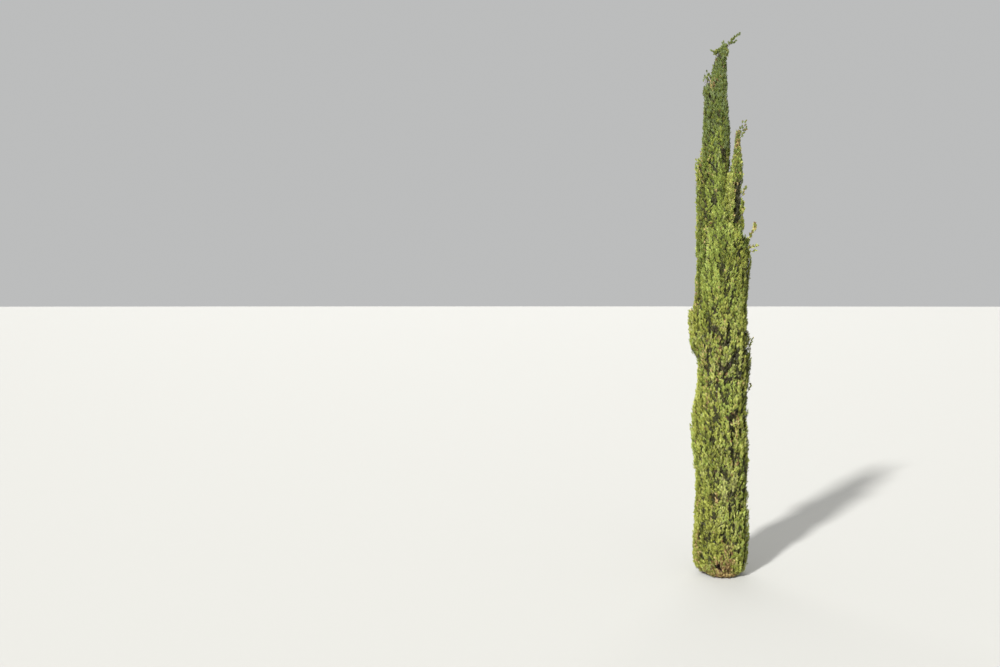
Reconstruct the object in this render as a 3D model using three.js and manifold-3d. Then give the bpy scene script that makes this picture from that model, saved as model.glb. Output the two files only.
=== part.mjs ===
// A pencil cypress: one trunk from the ground to the tip, a second leader on the right, steep boughs,
// and a dense column of upright plumes. Millimetres, +Z up, ground at Z 0, +X to the right as it is seen.
import * as THREE from "three";
import { mergeVertices } from "three/addons/utils/BufferGeometryUtils.js";
import Module from "manifold-3d";

const wasm = await Module();
wasm.setup();

// Driving dimensions, in millimetres. A table is a list of [height, value].
const treeHeight = 13000;
const trunkTip = 12640;
const trunkRadius = [
  [0, 196], [130, 172], [380, 150], [1300, 138], [5000, 100], [9000, 54], [11500, 26], [12640, 9],
];
const trunkLean = [
  [0, 0], [3000, -10], [6000, -40], [9000, -100], [11000, -135], [12000, -120], [12450, -60], [12640, 0],
];
const trunkSway = [[0, 0], [2500, 22], [5500, -18], [8500, 24], [11000, 0], [12640, 12]];
const flare = { lobes: 5, depth: 0.16, height: 520 };

// How far the foliage reaches from the trunk's centre line, to the left and to the right.
const leftReach = [
  [120, 560], [350, 650], [900, 682], [1700, 650], [2150, 640], [2900, 690], [3600, 752], [4100, 700],
  [4800, 612], [5300, 640], [5750, 752], [6350, 772], [6700, 640], [7500, 608], [8600, 588], [9900, 566],
  [10100, 446], [11000, 398], [11600, 372], [11740, 350], [11860, 214], [12150, 184], [12450, 190],
  [12600, 130], [12800, 50],
];
const rightReach = [
  [120, 520], [350, 630], [900, 690], [1700, 665], [2500, 672], [2850, 706], [3400, 655], [4400, 650],
  [5100, 712], [5700, 690], [6500, 655], [7100, 690], [7700, 742], [8150, 690], [8420, 300], [9300, 262],
  [10150, 300], [10900, 300], [11400, 232], [11900, 198], [12300, 150], [12600, 92], [12800, 50],
];
// To the front and back the column has the mean of both reaches, taken at shifted heights, up to a limit.
const depthShift = { front: [600, -400], back: [-500, 500], most: 1.25 };
const foot = { height: 130, frontRise: 260, frontWidth: 0.55 };

// The second leader: a limb that leaves the trunk low down and stands clear of the main column at the top.
const leaderPath = [
  [-30, -40, 5500], [60, -62, 6100], [112, -50, 7000], [190, -20, 7900], [286, 0, 8600], [302, 4, 9500],
  [333, 0, 10700],
];
const leaderRadius = { foot: 42, tip: 8 };
const leaderReach = [
  [8480, 90], [8700, 176], [9100, 170], [9700, 168], [10150, 122], [10500, 88], [10720, 50],
];
const leaderDepth = 1.3;
const leaderEntry = 8470;
const divide = { from: 8360, x: 160, gap: 6 };

// The plumes of the main column follow one another up a spiral. Each keeps to the space nearest its centre.
const plumes = { count: 25, lowest: 820, highest: 11450, turn: 137.50776, phase: 62, stretch: 3.7 };
const spacingByHeight = [[0, 1], [6000, 1.0], [9000, 0.82], [12000, 0.55]];
const plumeGap = 11;
const leastSpan = 0.12;
const widestPlume = 2.4;
const plumeTop = 11700;
const crease = { depth: 62, width: 150 };

// The rings of a core: how far up its plume each one is, and how much of the plume's width it fills.
const coreLevels = [[0.02, 0.85], [0.15, 1], [0.4, 1], [0.66, 1], [0.86, 0.85], [0.985, 0.35]];
const coreInset = 78;
const coreInner = { foot: 0.4, top: 0.64, leastWall: 0.14, rounded: 0.14 };
const coreSides = 4;
const tipLevels = [[0, 0.4], [0.2, 1], [0.42, 1], [0.66, 1], [0.86, 0.9], [0.97, 0.5]];
const tipSides = 7;
const tipCore = 0.72;
const tipRoot = 0.3;
const topPlumeHeight = 12810;

// A bough leaves the trunk below its plume and enters it at `entry`. Its stem goes on up, at these shares of
// the plume's height and of the way out from the trunk.
const limb = {
  sides: 5, steps: 4, clear: 0.3, rise: 620, risePart: 0.55, entry: 0.15, entryOut: 0.46, slender: 0.6,
  footRadius: 27, tipRadius: 15, stemTip: 5, room: 5, past: 0.004,
};
const stemLevels = [[0.3, 0.6], [0.9, 0.74]];

const spray = {
  length: 480, width: 150, ridge: 34, sunk: 60, areaEach: 0.108, margin: 0.2, lowestRoot: 0.07,
};
const topSpray = { scale: 0.72, from: 8500, to: 12000 };
// The outline of a spray: the share of the way up, and how far the point stands aside and out.
const sprayOutline = [
  [0, 0, 0.3],
  [0.5, -0.5, 0], [0.6, 0.44, 0], [0.5, 0, 1],
  [0.78, -0.2, 0], [0.82, 0.34, 0], [0.74, 0, 0.8],
  [1, 0, 0.3],
];

const seed = 7351;

// Single twigs that stand out of the outline: where the tip is, and how far below it the twig starts.
const strayTwigs = [
  { height: 10080, angle: 176, reach: 590, drop: 330 },
  { height: 8430, angle: 4, reach: 850, drop: 620 },
  { height: 7890, angle: -12, reach: 915, drop: 420 },
  { height: 5690, angle: 6, reach: 760, drop: 360 },
  { height: 4720, angle: -6, reach: 842, drop: 260 },
  { height: 3560, angle: 171, reach: 790, drop: 330 },
  { height: 6240, angle: 188, reach: 812, drop: 380 },
];
const secondTwigs = [
  { height: 9330, angle: -14, reach: 240, drop: 300 },
  { height: 10900, angle: 8, reach: 190, drop: 420 },
];
const topTwigs = [
  { height: 12150, angle: 178, reach: 425, drop: 400 },
  { height: 12200, angle: 196, reach: 345, drop: 420 },
  { height: 12600, angle: 180, reach: 262, drop: 300 },
];
const bentTip = [[-8, 10, 12600], [80, 8, 12790], [210, 0, 12880], [373, 0, 12995]];
const strayTwig = { radius: 9, tip: 4, leaves: [[0.76, 0.4], [0.99, 0]], leafLength: 210, leafWidth: 84 };

// The height values of a table, joined by a smooth curve.
function along(table, at) {
  const last = table.length - 1;
  if (at <= table[0][0]) return table[0][1];
  if (at >= table[last][0]) return table[last][1];
  const k = table.findIndex((row, i) => i < last && at < table[i + 1][0]);
  const slope = (i) => {
    const before = table[Math.max(i - 1, 0)], after = table[Math.min(i + 1, last)];
    return (after[1] - before[1]) / (after[0] - before[0]);
  };
  const step = table[k + 1][0] - table[k][0];
  const t = (at - table[k][0]) / step;
  const curve = (2 * t ** 3 - 3 * t ** 2 + 1) * table[k][1] + (3 * t ** 2 - 2 * t ** 3) * table[k + 1][1];
  return curve + step * ((t ** 3 - 2 * t ** 2 + t) * slope(k) + (t ** 3 - t ** 2) * slope(k + 1));
}

// Numbers from 0 to 1 that are the same on every run.
function randomFrom(start) {
  let state = start | 0;
  return () => {
    state = (state + 0x6d2b79f5) | 0;
    let t = Math.imul(state ^ (state >>> 15), 1 | state);
    t = (t + Math.imul(t ^ (t >>> 7), 61 | t)) ^ t;
    return ((t ^ (t >>> 14)) >>> 0) / 4294967296;
  };
}

const radians = THREE.MathUtils.degToRad;
const mix = THREE.MathUtils.lerp;
const clamp = THREE.MathUtils.clamp;
const turnBetween = (a, b) => THREE.MathUtils.euclideanModulo(b - a + Math.PI, 2 * Math.PI) - Math.PI;

// The trunk's centre at a height, a point at an angle and distance from it, and the angle of a point.
const trunkCentre = (height) => new THREE.Vector2(along(trunkLean, height), along(trunkSway, height));
function place(angle, distance, height) {
  const centre = trunkCentre(height);
  const x = centre.x + distance * Math.cos(angle), y = centre.y + distance * Math.sin(angle);
  return new THREE.Vector3(x, y, height);
}
function angleOf(point) {
  const centre = trunkCentre(point.z);
  return Math.atan2(point.y - centre.y, point.x - centre.x);
}

// How far the column reaches from the trunk at an angle and height, before the creases between plumes.
function columnReach(angle, height) {
  const side = Math.cos(angle) ** 2;
  const sideways = Math.cos(angle) > 0 ? along(rightReach, height) : along(leftReach, height);
  const [leftShift, rightShift] = Math.sin(angle) < 0 ? depthShift.front : depthShift.back;
  const depth = (along(leftReach, height + leftShift) + along(rightReach, height + rightShift)) / 2;
  const mean = (along(leftReach, height) + along(rightReach, height)) / 2;
  return mix(Math.min(depth, depthShift.most * mean), sideways, side);
}

// The centres of the plumes on the column's surface, from the ground up.
function plumeCentres() {
  const steps = Array.from({ length: plumes.count }, (_, i) =>
    along(spacingByHeight, mix(plumes.lowest, plumes.highest, i / plumes.count)));
  const total = steps.reduce((sum, step) => sum + 1 / step, 0);
  let height = plumes.lowest;
  return steps.map((step, i) => {
    const centre = { height, angle: radians(plumes.phase + i * plumes.turn) };
    height += (plumes.highest - plumes.lowest) / (total * step);
    return centre;
  });
}
const centres = plumeCentres();

// Which plume a place on the column belongs to, and how far it is from that plume's edge.
function plumeAt(angle, height) {
  const size = columnReach(angle, height);
  const across = (c) => turnBetween(c.angle, angle) * size;
  const apart = centres.map((c) => Math.hypot(across(c), (height - c.height) / plumes.stretch));
  const owner = apart.indexOf(Math.min(...apart));
  let edge = Infinity;
  const mine = centres[owner];
  centres.forEach((c, i) => {
    if (i === owner) return;
    const aside = turnBetween(c.angle, mine.angle) * size;
    const between = Math.hypot(aside, (c.height - mine.height) / plumes.stretch);
    edge = Math.min(edge, (apart[i] ** 2 - apart[owner] ** 2) / (2 * between));
  });
  return { owner, edge };
}

// The surface that the spray tips reach: the column, drawn in along the creases.
function surface(angle, height) {
  const { edge } = plumeAt(angle, height);
  return columnReach(angle, height) - crease.depth * (1 - clamp(edge / crease.width, 0, 1)) ** 2;
}

const footAt = (angle) => {
  const fromFront = turnBetween(-Math.PI / 2, angle) / foot.frontWidth;
  return foot.height + foot.frontRise * Math.exp(-fromFront * fromFront);
};

// The angles that a plume holds at a height, or null where it holds none.
function spanAt(index, height) {
  const centre = centres[index].angle;
  const steps = 30;
  const holds = (angle) => {
    if (height <= footAt(angle) || height >= plumeTop) return false;
    const found = plumeAt(angle, height);
    return found.owner === index && found.edge > plumeGap;
  };
  const edgeBetween = (inside, outside) => {
    for (let i = 0; i < 9; i++) {
      const angle = (inside + outside) / 2;
      if (holds(angle)) inside = angle;
      else outside = angle;
    }
    return inside;
  };
  const step = widestPlume / steps;
  const held = Array.from({ length: 2 * steps + 1 }, (_, i) => centre + (i - steps) * step).filter(holds);
  if (!held.length) return null;
  const from = edgeBetween(held[0], held[0] - step);
  const to = edgeBetween(held[held.length - 1], held[held.length - 1] + step);
  return to - from < leastSpan ? null : { from, to, middle: (from + to) / 2 };
}

function extentOf(index) {
  let low = null, high = null;
  for (let height = foot.height; height < plumeTop; height += 40) {
    if (!spanAt(index, height)) continue;
    if (low === null) low = height;
    high = height;
  }
  return { low, high };
}

// A closed solid from rings of points, each joined to the next, with flat ends.
function loft(rings) {
  const sides = rings[0].length;
  const faces = [];
  for (let k = 0; k + 1 < rings.length; k++)
    for (let i = 0; i < sides; i++) {
      const a = k * sides + i, b = k * sides + ((i + 1) % sides);
      faces.push(a, b, b + sides, a, b + sides, a + sides);
    }
  const top = (rings.length - 1) * sides;
  for (let i = 1; i + 1 < sides; i++) faces.push(0, i + 1, i, top, top + i, top + i + 1);
  return closed(rings.flat(), faces);
}

function closed(points, faces) {
  const geometry = new THREE.BufferGeometry().setFromPoints(points).setIndex(faces);
  const merged = mergeVertices(geometry, 1e-3);
  const make = (index) => new wasm.Manifold(new wasm.Mesh({
    numProp: 3,
    vertProperties: merged.getAttribute("position").array,
    triVerts: new Uint32Array(index),
  }));
  const made = make(merged.index.array);
  return made.volume() > 0 ? made : make(Array.from(merged.index.array).reverse());
}

// A round tapering limb along part of a path. `out` is a direction that the path never runs along.
function tube(path, radiusAt, from, to, { sides, steps, out, shift = 0 }) {
  const rings = Array.from({ length: steps + 1 }, (_, k) => {
    const t = mix(from, to, k / steps);
    const ahead = path.getTangent(t);
    const across = new THREE.Vector3().crossVectors(ahead, out).normalize();
    const up = new THREE.Vector3().crossVectors(across, ahead).normalize();
    const middle = path.getPoint(t).addScaledVector(path.getTangent(from), shift);
    return Array.from({ length: sides }, (_, i) => {
      const turn = (2 * Math.PI * i) / sides;
      return middle.clone()
        .addScaledVector(across, radiusAt(t) * Math.cos(turn))
        .addScaledVector(up, radiusAt(t) * Math.sin(turn));
    });
  });
  return loft(rings);
}

const curve = (points) => new THREE.CatmullRomCurve3(points, false, "catmullrom", 0.5);

// The trunk: level rings, so that the cut at the ground is flat, with root flare in lobes.
function trunkSolid(extra = 0) {
  const sides = 15, steps = 16;
  const rings = Array.from({ length: steps + 1 }, (_, k) => {
    const height = trunkTip * (k / steps) ** 1.7;
    return Array.from({ length: sides }, (_, i) => {
      const angle = (2 * Math.PI * i) / sides;
      const lobe = 1 + flare.depth * Math.cos(flare.lobes * angle) * Math.exp(-height / flare.height);
      const point = place(angle, along(trunkRadius, height) * lobe + extra, height);
      return k === steps ? point.setZ(height + extra) : point;
    });
  });
  return loft(rings);
}

// A toothed blade that stands for a spray: three-sided, with its teeth at different heights on the two sides.
function blade(tip, ahead, out, length, width) {
  const across = new THREE.Vector3().crossVectors(ahead, out).normalize();
  const face = new THREE.Vector3().crossVectors(across, ahead).normalize();
  const at = (s, sideways, outward) => tip.clone()
    .addScaledVector(ahead, (s - 1) * length)
    .addScaledVector(across, sideways * width)
    .addScaledVector(face, outward * (spray.ridge * width) / spray.width);
  const points = sprayOutline.map((point) => at(...point));
  const faces = [];
  for (let i = 0; i < 3; i++) {
    const next = (i + 1) % 3;
    faces.push(0, 1 + next, 1 + i, 1 + i, 1 + next, 4 + next, 1 + i, 4 + next, 4 + i, 4 + i, 4 + next, 7);
  }
  return { points, solid: () => closed(points, faces) };
}

// Evenly spread pairs of numbers from 0 to 1.
const spread = (n) => [(0.5 + n * 0.7548776662) % 1, (0.5 + n * 0.5698402910) % 1];

const secondPath = curve(leaderPath.map((point) => new THREE.Vector3(...point)));
const heightOn = (path, height) => {
  let low = 0, high = 1;
  for (let i = 0; i < 40; i++) {
    const t = (low + high) / 2;
    if (path.getPoint(t).z < height) low = t;
    else high = t;
  }
  return low;
};
const secondEntry = heightOn(secondPath, leaderEntry);
const secondRadius = (t) => mix(leaderRadius.foot, leaderRadius.tip, t);

// The limb and stem of a plume: out of the trunk, up the inside of the column, and on through the plume.
function limbOf(index) {
  const { low, high } = extentOf(index);
  const entry = mix(low, high, limb.entry);
  const start = entry - Math.min(limb.rise, entry * limb.risePart);
  const angle = spanAt(index, entry).middle;
  const inside = (height, share) => {
    const { middle } = spanAt(index, height);
    return place(middle, share * columnReach(middle, height), height);
  };
  const trunkSide = along(trunkRadius, start);
  const entryOut = limb.entryOut * columnReach(angle, entry);
  const halfOut = Math.max(mix(trunkSide, entryOut, 0.4), trunkSide + 2 * limb.tipRadius);
  const path = curve([
    place(angle, trunkSide * 0.4, start),
    place(angle, halfOut, mix(start, entry, 0.5)),
    place(angle, entryOut, entry),
    ...stemLevels.map(([level, share]) => inside(mix(entry, high, level), share)),
  ]);
  const joint = heightOn(path, entry - 40);
  const slender = mix(1, limb.slender, entry / treeHeight);
  const thick = (t) => slender * (t < joint
    ? mix(limb.footRadius, limb.tipRadius, t / joint)
    : mix(limb.tipRadius, limb.stemTip, (t - joint) / (1 - joint)));
  const out = new THREE.Vector3(Math.cos(angle), Math.sin(angle), 0);
  return { path, joint, thick, low, high, out };
}

function boughSolid(shape) {
  return tube(shape.path, shape.thick, 0, shape.joint, { ...limb, out: shape.out });
}

// The space round a bough that the foliage keeps clear of. It ends a little past the bough's own end.
function boughClear(shape) {
  const wide = (t) => shape.thick(t) + limb.room;
  return tube(shape.path, wide, 0, shape.joint + limb.past, { ...limb, out: shape.out });
}

function stemSolid(shape) {
  return tube(shape.path, shape.thick, shape.joint, 0.995, { ...limb, out: shape.out, shift: limb.clear });
}

// The dense core of a plume: a wedge of the column, pointed at both ends, that leans out as it rises.
function coreSolid(index, { low, high }) {
  const rings = coreLevels.map(([u, full]) => {
    const height = mix(low, high, u);
    const span = spanAt(index, height);
    const angleAt = (share) => mix(span.middle, mix(span.from, span.to, share), full);
    const inner = mix(coreInner.foot, coreInner.top, u);
    const outer = Array.from({ length: coreSides }, (_, i) => {
      const angle = angleAt(i / (coreSides - 1));
      const reach = surface(angle, height);
      const wall = Math.max(reach - coreInset - inner * reach, coreInner.leastWall * reach);
      return place(angle, inner * reach + full * wall, height);
    });
    const inside = [1 - coreInner.rounded, coreInner.rounded].map((share) =>
      place(angleAt(share), inner * columnReach(angleAt(share), height), height));
    return [...outer, ...inside];
  });
  return loft(rings);
}

// The sprays of a region: tips spread evenly over its surface, each rising from a root sunk in the core.
function spraysOver({ from, to, low, high, count, surfacePoint, rootPoint, keeps, random, scale = 1 }) {
  const made = [];
  for (let n = 0; n < count; n++) {
    const [a, b] = spread(n);
    const rise = spray.length * scale * mix(0.8, 1.15, random());
    const width = spray.width * scale * mix(0.85, 1.15, random());
    const turn = mix(-0.6, 0.6, random());
    const angle = mix(from, to, a), tipHeight = mix(low + 0.5 * rise, high, b);
    const root = rootPoint(angle, Math.max(tipHeight - rise, mix(low, high, spray.lowestRoot)));
    if (!root) continue;
    const tip = surfacePoint(angle, tipHeight);
    const ahead = tip.clone().sub(root).normalize();
    const facing = new THREE.Vector3(Math.cos(angle + turn), Math.sin(angle + turn), 0);
    const leaf = blade(tip, ahead, facing, tip.distanceTo(root), width);
    if (keeps(leaf.points)) made.push(leaf.solid());
  }
  return made;
}

const pastDivide = (point) => point.z > divide.from && point.x > divide.x - divide.gap;

function plumeSolid(index, shape, limbs) {
  const random = randomFrom(seed + index);
  const spans = coreLevels.map(([u]) => spanAt(index, mix(shape.low, shape.high, u)));
  const from = Math.min(...spans.map((s) => s.from)), to = Math.max(...spans.map((s) => s.to));
  const width = (to - from) * columnReach(centres[index].angle, centres[index].height);
  const count = Math.round((width * (shape.high - shape.low)) / 1e6 / spray.areaEach);
  const aloft = clamp((shape.low - topSpray.from) / (topSpray.to - topSpray.from), 0, 1);
  const surfacePoint = (angle, height) => place(angle, surface(angle, height), height);
  const rootPoint = (angle, height) => {
    const span = spanAt(index, height);
    if (!span) return null;
    const margin = spray.margin * (span.to - span.from);
    const turned = clamp(mix(angle, span.middle, 0.3), span.from + margin, span.to - margin);
    return place(turned, surface(turned, height) - coreInset - spray.sunk, height);
  };
  const keeps = (points) => points.every((p) => {
    const angle = angleOf(p);
    if (p.z < footAt(angle) || p.z > plumeTop || pastDivide(p)) return false;
    const found = plumeAt(angle, p.z);
    return found.owner === index && found.edge > 5;
  });
  const sprays = spraysOver({
    from, to, low: shape.low, high: shape.high, count, surfacePoint, rootPoint, keeps, random,
    scale: mix(1, topSpray.scale, aloft),
  });
  for (const twig of strayTwigs) {
    const turn = radians(twig.angle), foot = twig.height - twig.drop;
    if (plumeAt(turn, foot).owner === index) sprays.push(strayTwigSolid(twig, rootPoint(turn, foot)));
  }
  let mass = coreSolid(index, shape);
  for (const other of limbs) mass = mass.subtract(other);
  mass = largestOf(mass).add(stemSolid(shape));
  for (const leaf of sprays) mass = mass.add(leaf);
  return largestOf(mass);
}

// The largest body of a solid, without the loose scraps.
function largestOf(solid) {
  return solid.decompose().reduce((best, body) => (body.volume() > best.volume() ? body : best));
}

// A plume that stands all round its own stem, as the tip of a leader does. pointAt takes an angle, a height
// and the share of the way out to the surface.
function tipPlume({ pointAt, low, high, count, scale, random, keeps, twigs, centreAt }) {
  const turns = Array.from({ length: tipSides }, (_, i) => (2 * Math.PI * i) / tipSides);
  const rings = tipLevels.map(([u, full]) =>
    turns.map((turn) => pointAt(turn, mix(low, high, u), tipCore * full)));
  const sprays = spraysOver({
    from: 0, to: 2 * Math.PI, low, high, count, random, scale, keeps,
    surfacePoint: (angle, height) => pointAt(angle, height, 1),
    rootPoint: (angle, height) => pointAt(angle, height, tipRoot),
  });
  for (const twig of twigs) {
    const root = pointAt(radians(twig.angle), twig.height - twig.drop, tipRoot);
    sprays.push(strayTwigSolid(twig, root, centreAt));
  }
  return largestOf(sprays.reduce((mass, leaf) => mass.add(leaf), loft(rings)));
}

// A thin twig with small blades along it, each given by its place on the twig and how far it turns aside.
function twigSolid(path, out) {
  const sideways = new THREE.Vector3(-out.y, out.x, 0);
  const outDown = out.clone().setZ(-0.6).normalize();
  let made = tube(path, (t) => mix(strayTwig.radius, strayTwig.tip, t), 0, 1, { sides: 3, steps: 3, out });
  for (const [t, aside] of strayTwig.leaves) {
    const ahead = path.getTangent(t).addScaledVector(sideways, aside).normalize();
    const length = strayTwig.leafLength * mix(1, 0.6, t);
    const end = path.getPoint(t).addScaledVector(ahead, aside ? length * 0.55 : 0);
    made = made.add(blade(end, ahead, outDown, length, strayTwig.leafWidth).solid());
  }
  return made;
}

// A twig that stands out of the outline, from a root inside its mass.
function strayTwigSolid({ height, angle, reach, drop }, root, centreAt = trunkCentre) {
  const turn = radians(angle);
  const out = new THREE.Vector3(Math.cos(turn), Math.sin(turn), 0);
  const centre = centreAt(height);
  const tip = new THREE.Vector3(centre.x, centre.y, height - strayTwig.tip).addScaledVector(out, reach - 8);
  const bend = root.clone().lerp(tip, 0.55).addScaledVector(out, drop * 0.1);
  return twigSolid(curve([root, bend, tip]), out);
}

// Materials

const barkMaterial = new THREE.MeshStandardMaterial({ color: 0x6f6254, roughness: 0.92, metalness: 0 });
const foliageMaterial = new THREE.MeshStandardMaterial({ color: 0x6d7c35, roughness: 0.75, metalness: 0 });

function meshOf(name, solid, material) {
  const { vertProperties, triVerts } = solid.getMesh();
  const geometry = new THREE.BufferGeometry()
    .setAttribute("position", new THREE.BufferAttribute(vertProperties, 3))
    .setIndex(new THREE.BufferAttribute(triVerts, 1));
  geometry.computeVertexNormals();
  const mesh = new THREE.Mesh(geometry, material);
  mesh.name = name;
  return mesh;
}

const tree = new THREE.Group();
const numbered = (name, i) => `${name}_${String(i + 1).padStart(2, "0")}`;
const trunkClear = trunkSolid(limb.clear);

tree.add(meshOf("trunk", trunkSolid(), barkMaterial));

const xAxis = new THREE.Vector3(1, 0, 0);
const secondTube = (extra, from, to, steps, shift = 0) =>
  tube(secondPath, (t) => secondRadius(t) + extra, from, to, { sides: 7, steps, shift, out: xAxis });
tree.add(meshOf("second_leader", secondTube(0, 0, secondEntry, 12).subtract(trunkClear), barkMaterial));
const secondClear = secondTube(limb.room, 0, secondEntry + limb.past, 12);

const shapes = centres.map((_, i) => limbOf(i));
shapes.forEach((shape, i) => {
  tree.add(meshOf(numbered("bough", i), boughSolid(shape).subtract(trunkClear), barkMaterial));
});

const limbsClear = [trunkClear, secondClear, ...shapes.map(boughClear)];
shapes.forEach((shape, i) => {
  tree.add(meshOf(numbered("plume", i), plumeSolid(i, shape, limbsClear), foliageMaterial));
});

// The second leader's own plume, on the rest of its path.
const secondCentre = (height) => {
  const point = secondPath.getPoint(heightOn(secondPath, height));
  return new THREE.Vector2(point.x, point.y);
};
const secondPlume = tipPlume({
  low: leaderEntry + 20, high: leaderReach[leaderReach.length - 1][0], count: 22, scale: 0.62,
  random: randomFrom(seed + 100), twigs: secondTwigs, centreAt: secondCentre,
  keeps: (points) => points.every((p) => p.z > leaderEntry + 20 && p.x > divide.x + divide.gap),
  pointAt: (angle, height, share) => {
    const centre = secondCentre(height), reach = share * along(leaderReach, height);
    return new THREE.Vector3(
      centre.x + reach * Math.cos(angle), centre.y + leaderDepth * reach * Math.sin(angle), height);
  },
}).add(secondTube(0, secondEntry, 0.99, 5, limb.clear));
tree.add(meshOf("second_leader_plume", secondPlume, foliageMaterial));

// The top of the main leader, which closes round the trunk's tip and ends in one bent twig.
const topLow = plumeTop - 120;
const topTwigPath = curve(bentTip.map((point) => new THREE.Vector3(...point)));
const topTwig = twigSolid(topTwigPath, new THREE.Vector3(0, -1, 0));
const topPlume = tipPlume({
  low: topLow, high: topPlumeHeight, count: 22, scale: 0.55, random: randomFrom(seed + 200), twigs: topTwigs,
  centreAt: trunkCentre, keeps: (points) => points.every((p) => p.z > plumeTop + 5 && !pastDivide(p)),
  pointAt: (angle, height, share) => place(angle, share * columnReach(angle, height), height),
}).add(topTwig);
tree.add(meshOf("leader_plume", topPlume.subtract(trunkClear), foliageMaterial));

export default tree;
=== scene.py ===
import math

import bpy
import numpy as np
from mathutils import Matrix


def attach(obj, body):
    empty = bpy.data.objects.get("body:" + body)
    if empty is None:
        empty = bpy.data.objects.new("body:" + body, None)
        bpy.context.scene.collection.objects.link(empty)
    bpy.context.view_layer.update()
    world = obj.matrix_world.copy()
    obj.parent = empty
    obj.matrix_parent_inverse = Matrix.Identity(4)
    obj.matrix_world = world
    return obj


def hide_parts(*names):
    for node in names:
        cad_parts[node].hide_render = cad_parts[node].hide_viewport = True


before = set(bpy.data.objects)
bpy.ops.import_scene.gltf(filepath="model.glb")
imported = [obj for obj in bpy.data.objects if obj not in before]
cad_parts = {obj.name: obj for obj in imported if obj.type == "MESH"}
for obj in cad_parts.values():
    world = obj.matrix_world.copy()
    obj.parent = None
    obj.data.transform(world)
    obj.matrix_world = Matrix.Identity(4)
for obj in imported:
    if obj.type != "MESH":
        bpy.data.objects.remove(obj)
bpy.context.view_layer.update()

golden = math.pi * (3 - math.sqrt(5))
up = np.array([0.0, 0.0, 1.0])

# Metres, +Z up. A table is a list of (height, value).
column = {
    "leftReach": [
        (0.12, 0.6), (0.35, 0.66), (0.9, 0.682), (1.7, 0.65), (2.15, 0.64), (2.9, 0.69), (3.6, 0.752),
        (4.1, 0.7), (4.8, 0.612), (5.3, 0.64), (5.75, 0.752), (6.35, 0.772), (6.7, 0.64), (7.5, 0.608),
        (8.6, 0.588), (9.9, 0.566), (10.1, 0.446), (11.0, 0.398), (11.6, 0.372), (11.74, 0.35),
        (11.86, 0.214), (12.15, 0.184), (12.45, 0.19), (12.6, 0.13), (12.8, 0.05),
    ],
    "rightReach": [
        (0.12, 0.56), (0.35, 0.64), (0.9, 0.69), (1.7, 0.665), (2.5, 0.672), (2.85, 0.706), (3.4, 0.655),
        (4.4, 0.65), (5.1, 0.712), (5.7, 0.69), (6.5, 0.655), (7.1, 0.69), (7.7, 0.742), (8.15, 0.69),
        (8.42, 0.3), (9.3, 0.262), (10.15, 0.3), (10.9, 0.3), (11.4, 0.232), (11.9, 0.198), (12.3, 0.15),
        (12.6, 0.092), (12.8, 0.05),
    ],
    "leftTrim": [
        (4.9, 0), (5.15, -0.01), (5.3, -0.045), (5.38, -0.01), (5.5, 0.05), (5.75, 0.01), (6.36, 0.01),
        (6.44, -0.07), (6.6, -0.03), (6.75, 0), (12.2, 0), (12.36, -0.03), (12.46, -0.11), (12.56, -0.09),
        (12.66, -0.03),
    ],
    "rightTrim": [(7.85, 0), (8.05, -0.05), (8.2, -0.06), (8.32, 0)],
    "frontShift": (0.6, -0.4),
    "backShift": (-0.5, 0.5),
    "mostDepth": 1.25,
    "usualReach": 0.66,
    "footHeight": 0.13,
    "frontRise": 0.26,
    "frontWidth": 0.55,
    "top": 12.74,
}
trunk = {
    "tip": 12.64,
    "radius": [
        (0, 0.196), (0.13, 0.172), (0.38, 0.15), (1.3, 0.138), (5.0, 0.1), (9.0, 0.054), (11.5, 0.026),
        (12.64, 0.009),
    ],
    "lean": [
        (0, 0), (3.0, -0.01), (6.0, -0.04), (9.0, -0.1), (11.0, -0.135), (12.0, -0.12), (12.45, -0.06),
        (12.64, 0),
    ],
    "sway": [(0, 0), (2.5, 0.022), (5.5, -0.018), (8.5, 0.024), (11.0, 0), (12.64, 0.012)],
    "lobes": 5,
    "lobeDepth": 0.16,
    "lobeHeight": 0.52,
}
samples = {"levels": 900, "around": 24, "span": 241, "line": 601}  # how finely shapes are read


def curveWeights(t):
    # how much the start, the stop and the slopes at both count
    return 2 * t**3 - 3 * t**2 + 1, 3 * t**2 - 2 * t**3, t**3 - 2 * t**2 + t, t**3 - t**2


def along(table, at):
    # a smooth curve through the table
    heights, values = np.array(table, float).T
    slope = np.empty_like(values)
    slope[1:-1] = (values[2:] - values[:-2]) / (heights[2:] - heights[:-2])
    slope[0] = (values[1] - values[0]) / (heights[1] - heights[0])
    slope[-1] = (values[-1] - values[-2]) / (heights[-1] - heights[-2])
    at = np.clip(np.asarray(at, float), heights[0], heights[-1])
    k = np.clip(np.searchsorted(heights, at, side="right") - 1, 0, len(heights) - 2)
    step = heights[k + 1] - heights[k]
    start, stop, into, out = curveWeights((at - heights[k]) / step)
    return start * values[k] + stop * values[k + 1] + step * (into * slope[k] + out * slope[k + 1])


def unit(vectors):
    return vectors / np.maximum(np.linalg.norm(vectors, axis=-1, keepdims=True), 1e-9)


def outwards(angle, rise=0.0):
    return np.stack([np.cos(angle), np.sin(angle), np.broadcast_to(rise, np.shape(angle))], -1)


def sideways(angle):
    return np.stack([-np.sin(angle), np.cos(angle), np.zeros(np.shape(angle))], -1)


def ringAngles(sides):
    return np.arange(sides) * 2 * math.pi / sides


def evenShares(count):
    return (np.arange(count) + 0.5) / count


def turnBetween(first, second):
    return np.mod(second - first + math.pi, 2 * math.pi) - math.pi


def trunkCentre(height):
    return np.stack([along(trunk["lean"], height), along(trunk["sway"], height)], -1)


def place(angle, distance, height):
    centre = trunkCentre(height)
    x = centre[..., 0] + distance * np.cos(angle)
    y = centre[..., 1] + distance * np.sin(angle)
    return np.stack([x, y, np.broadcast_to(height, x.shape)], -1)


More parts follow.
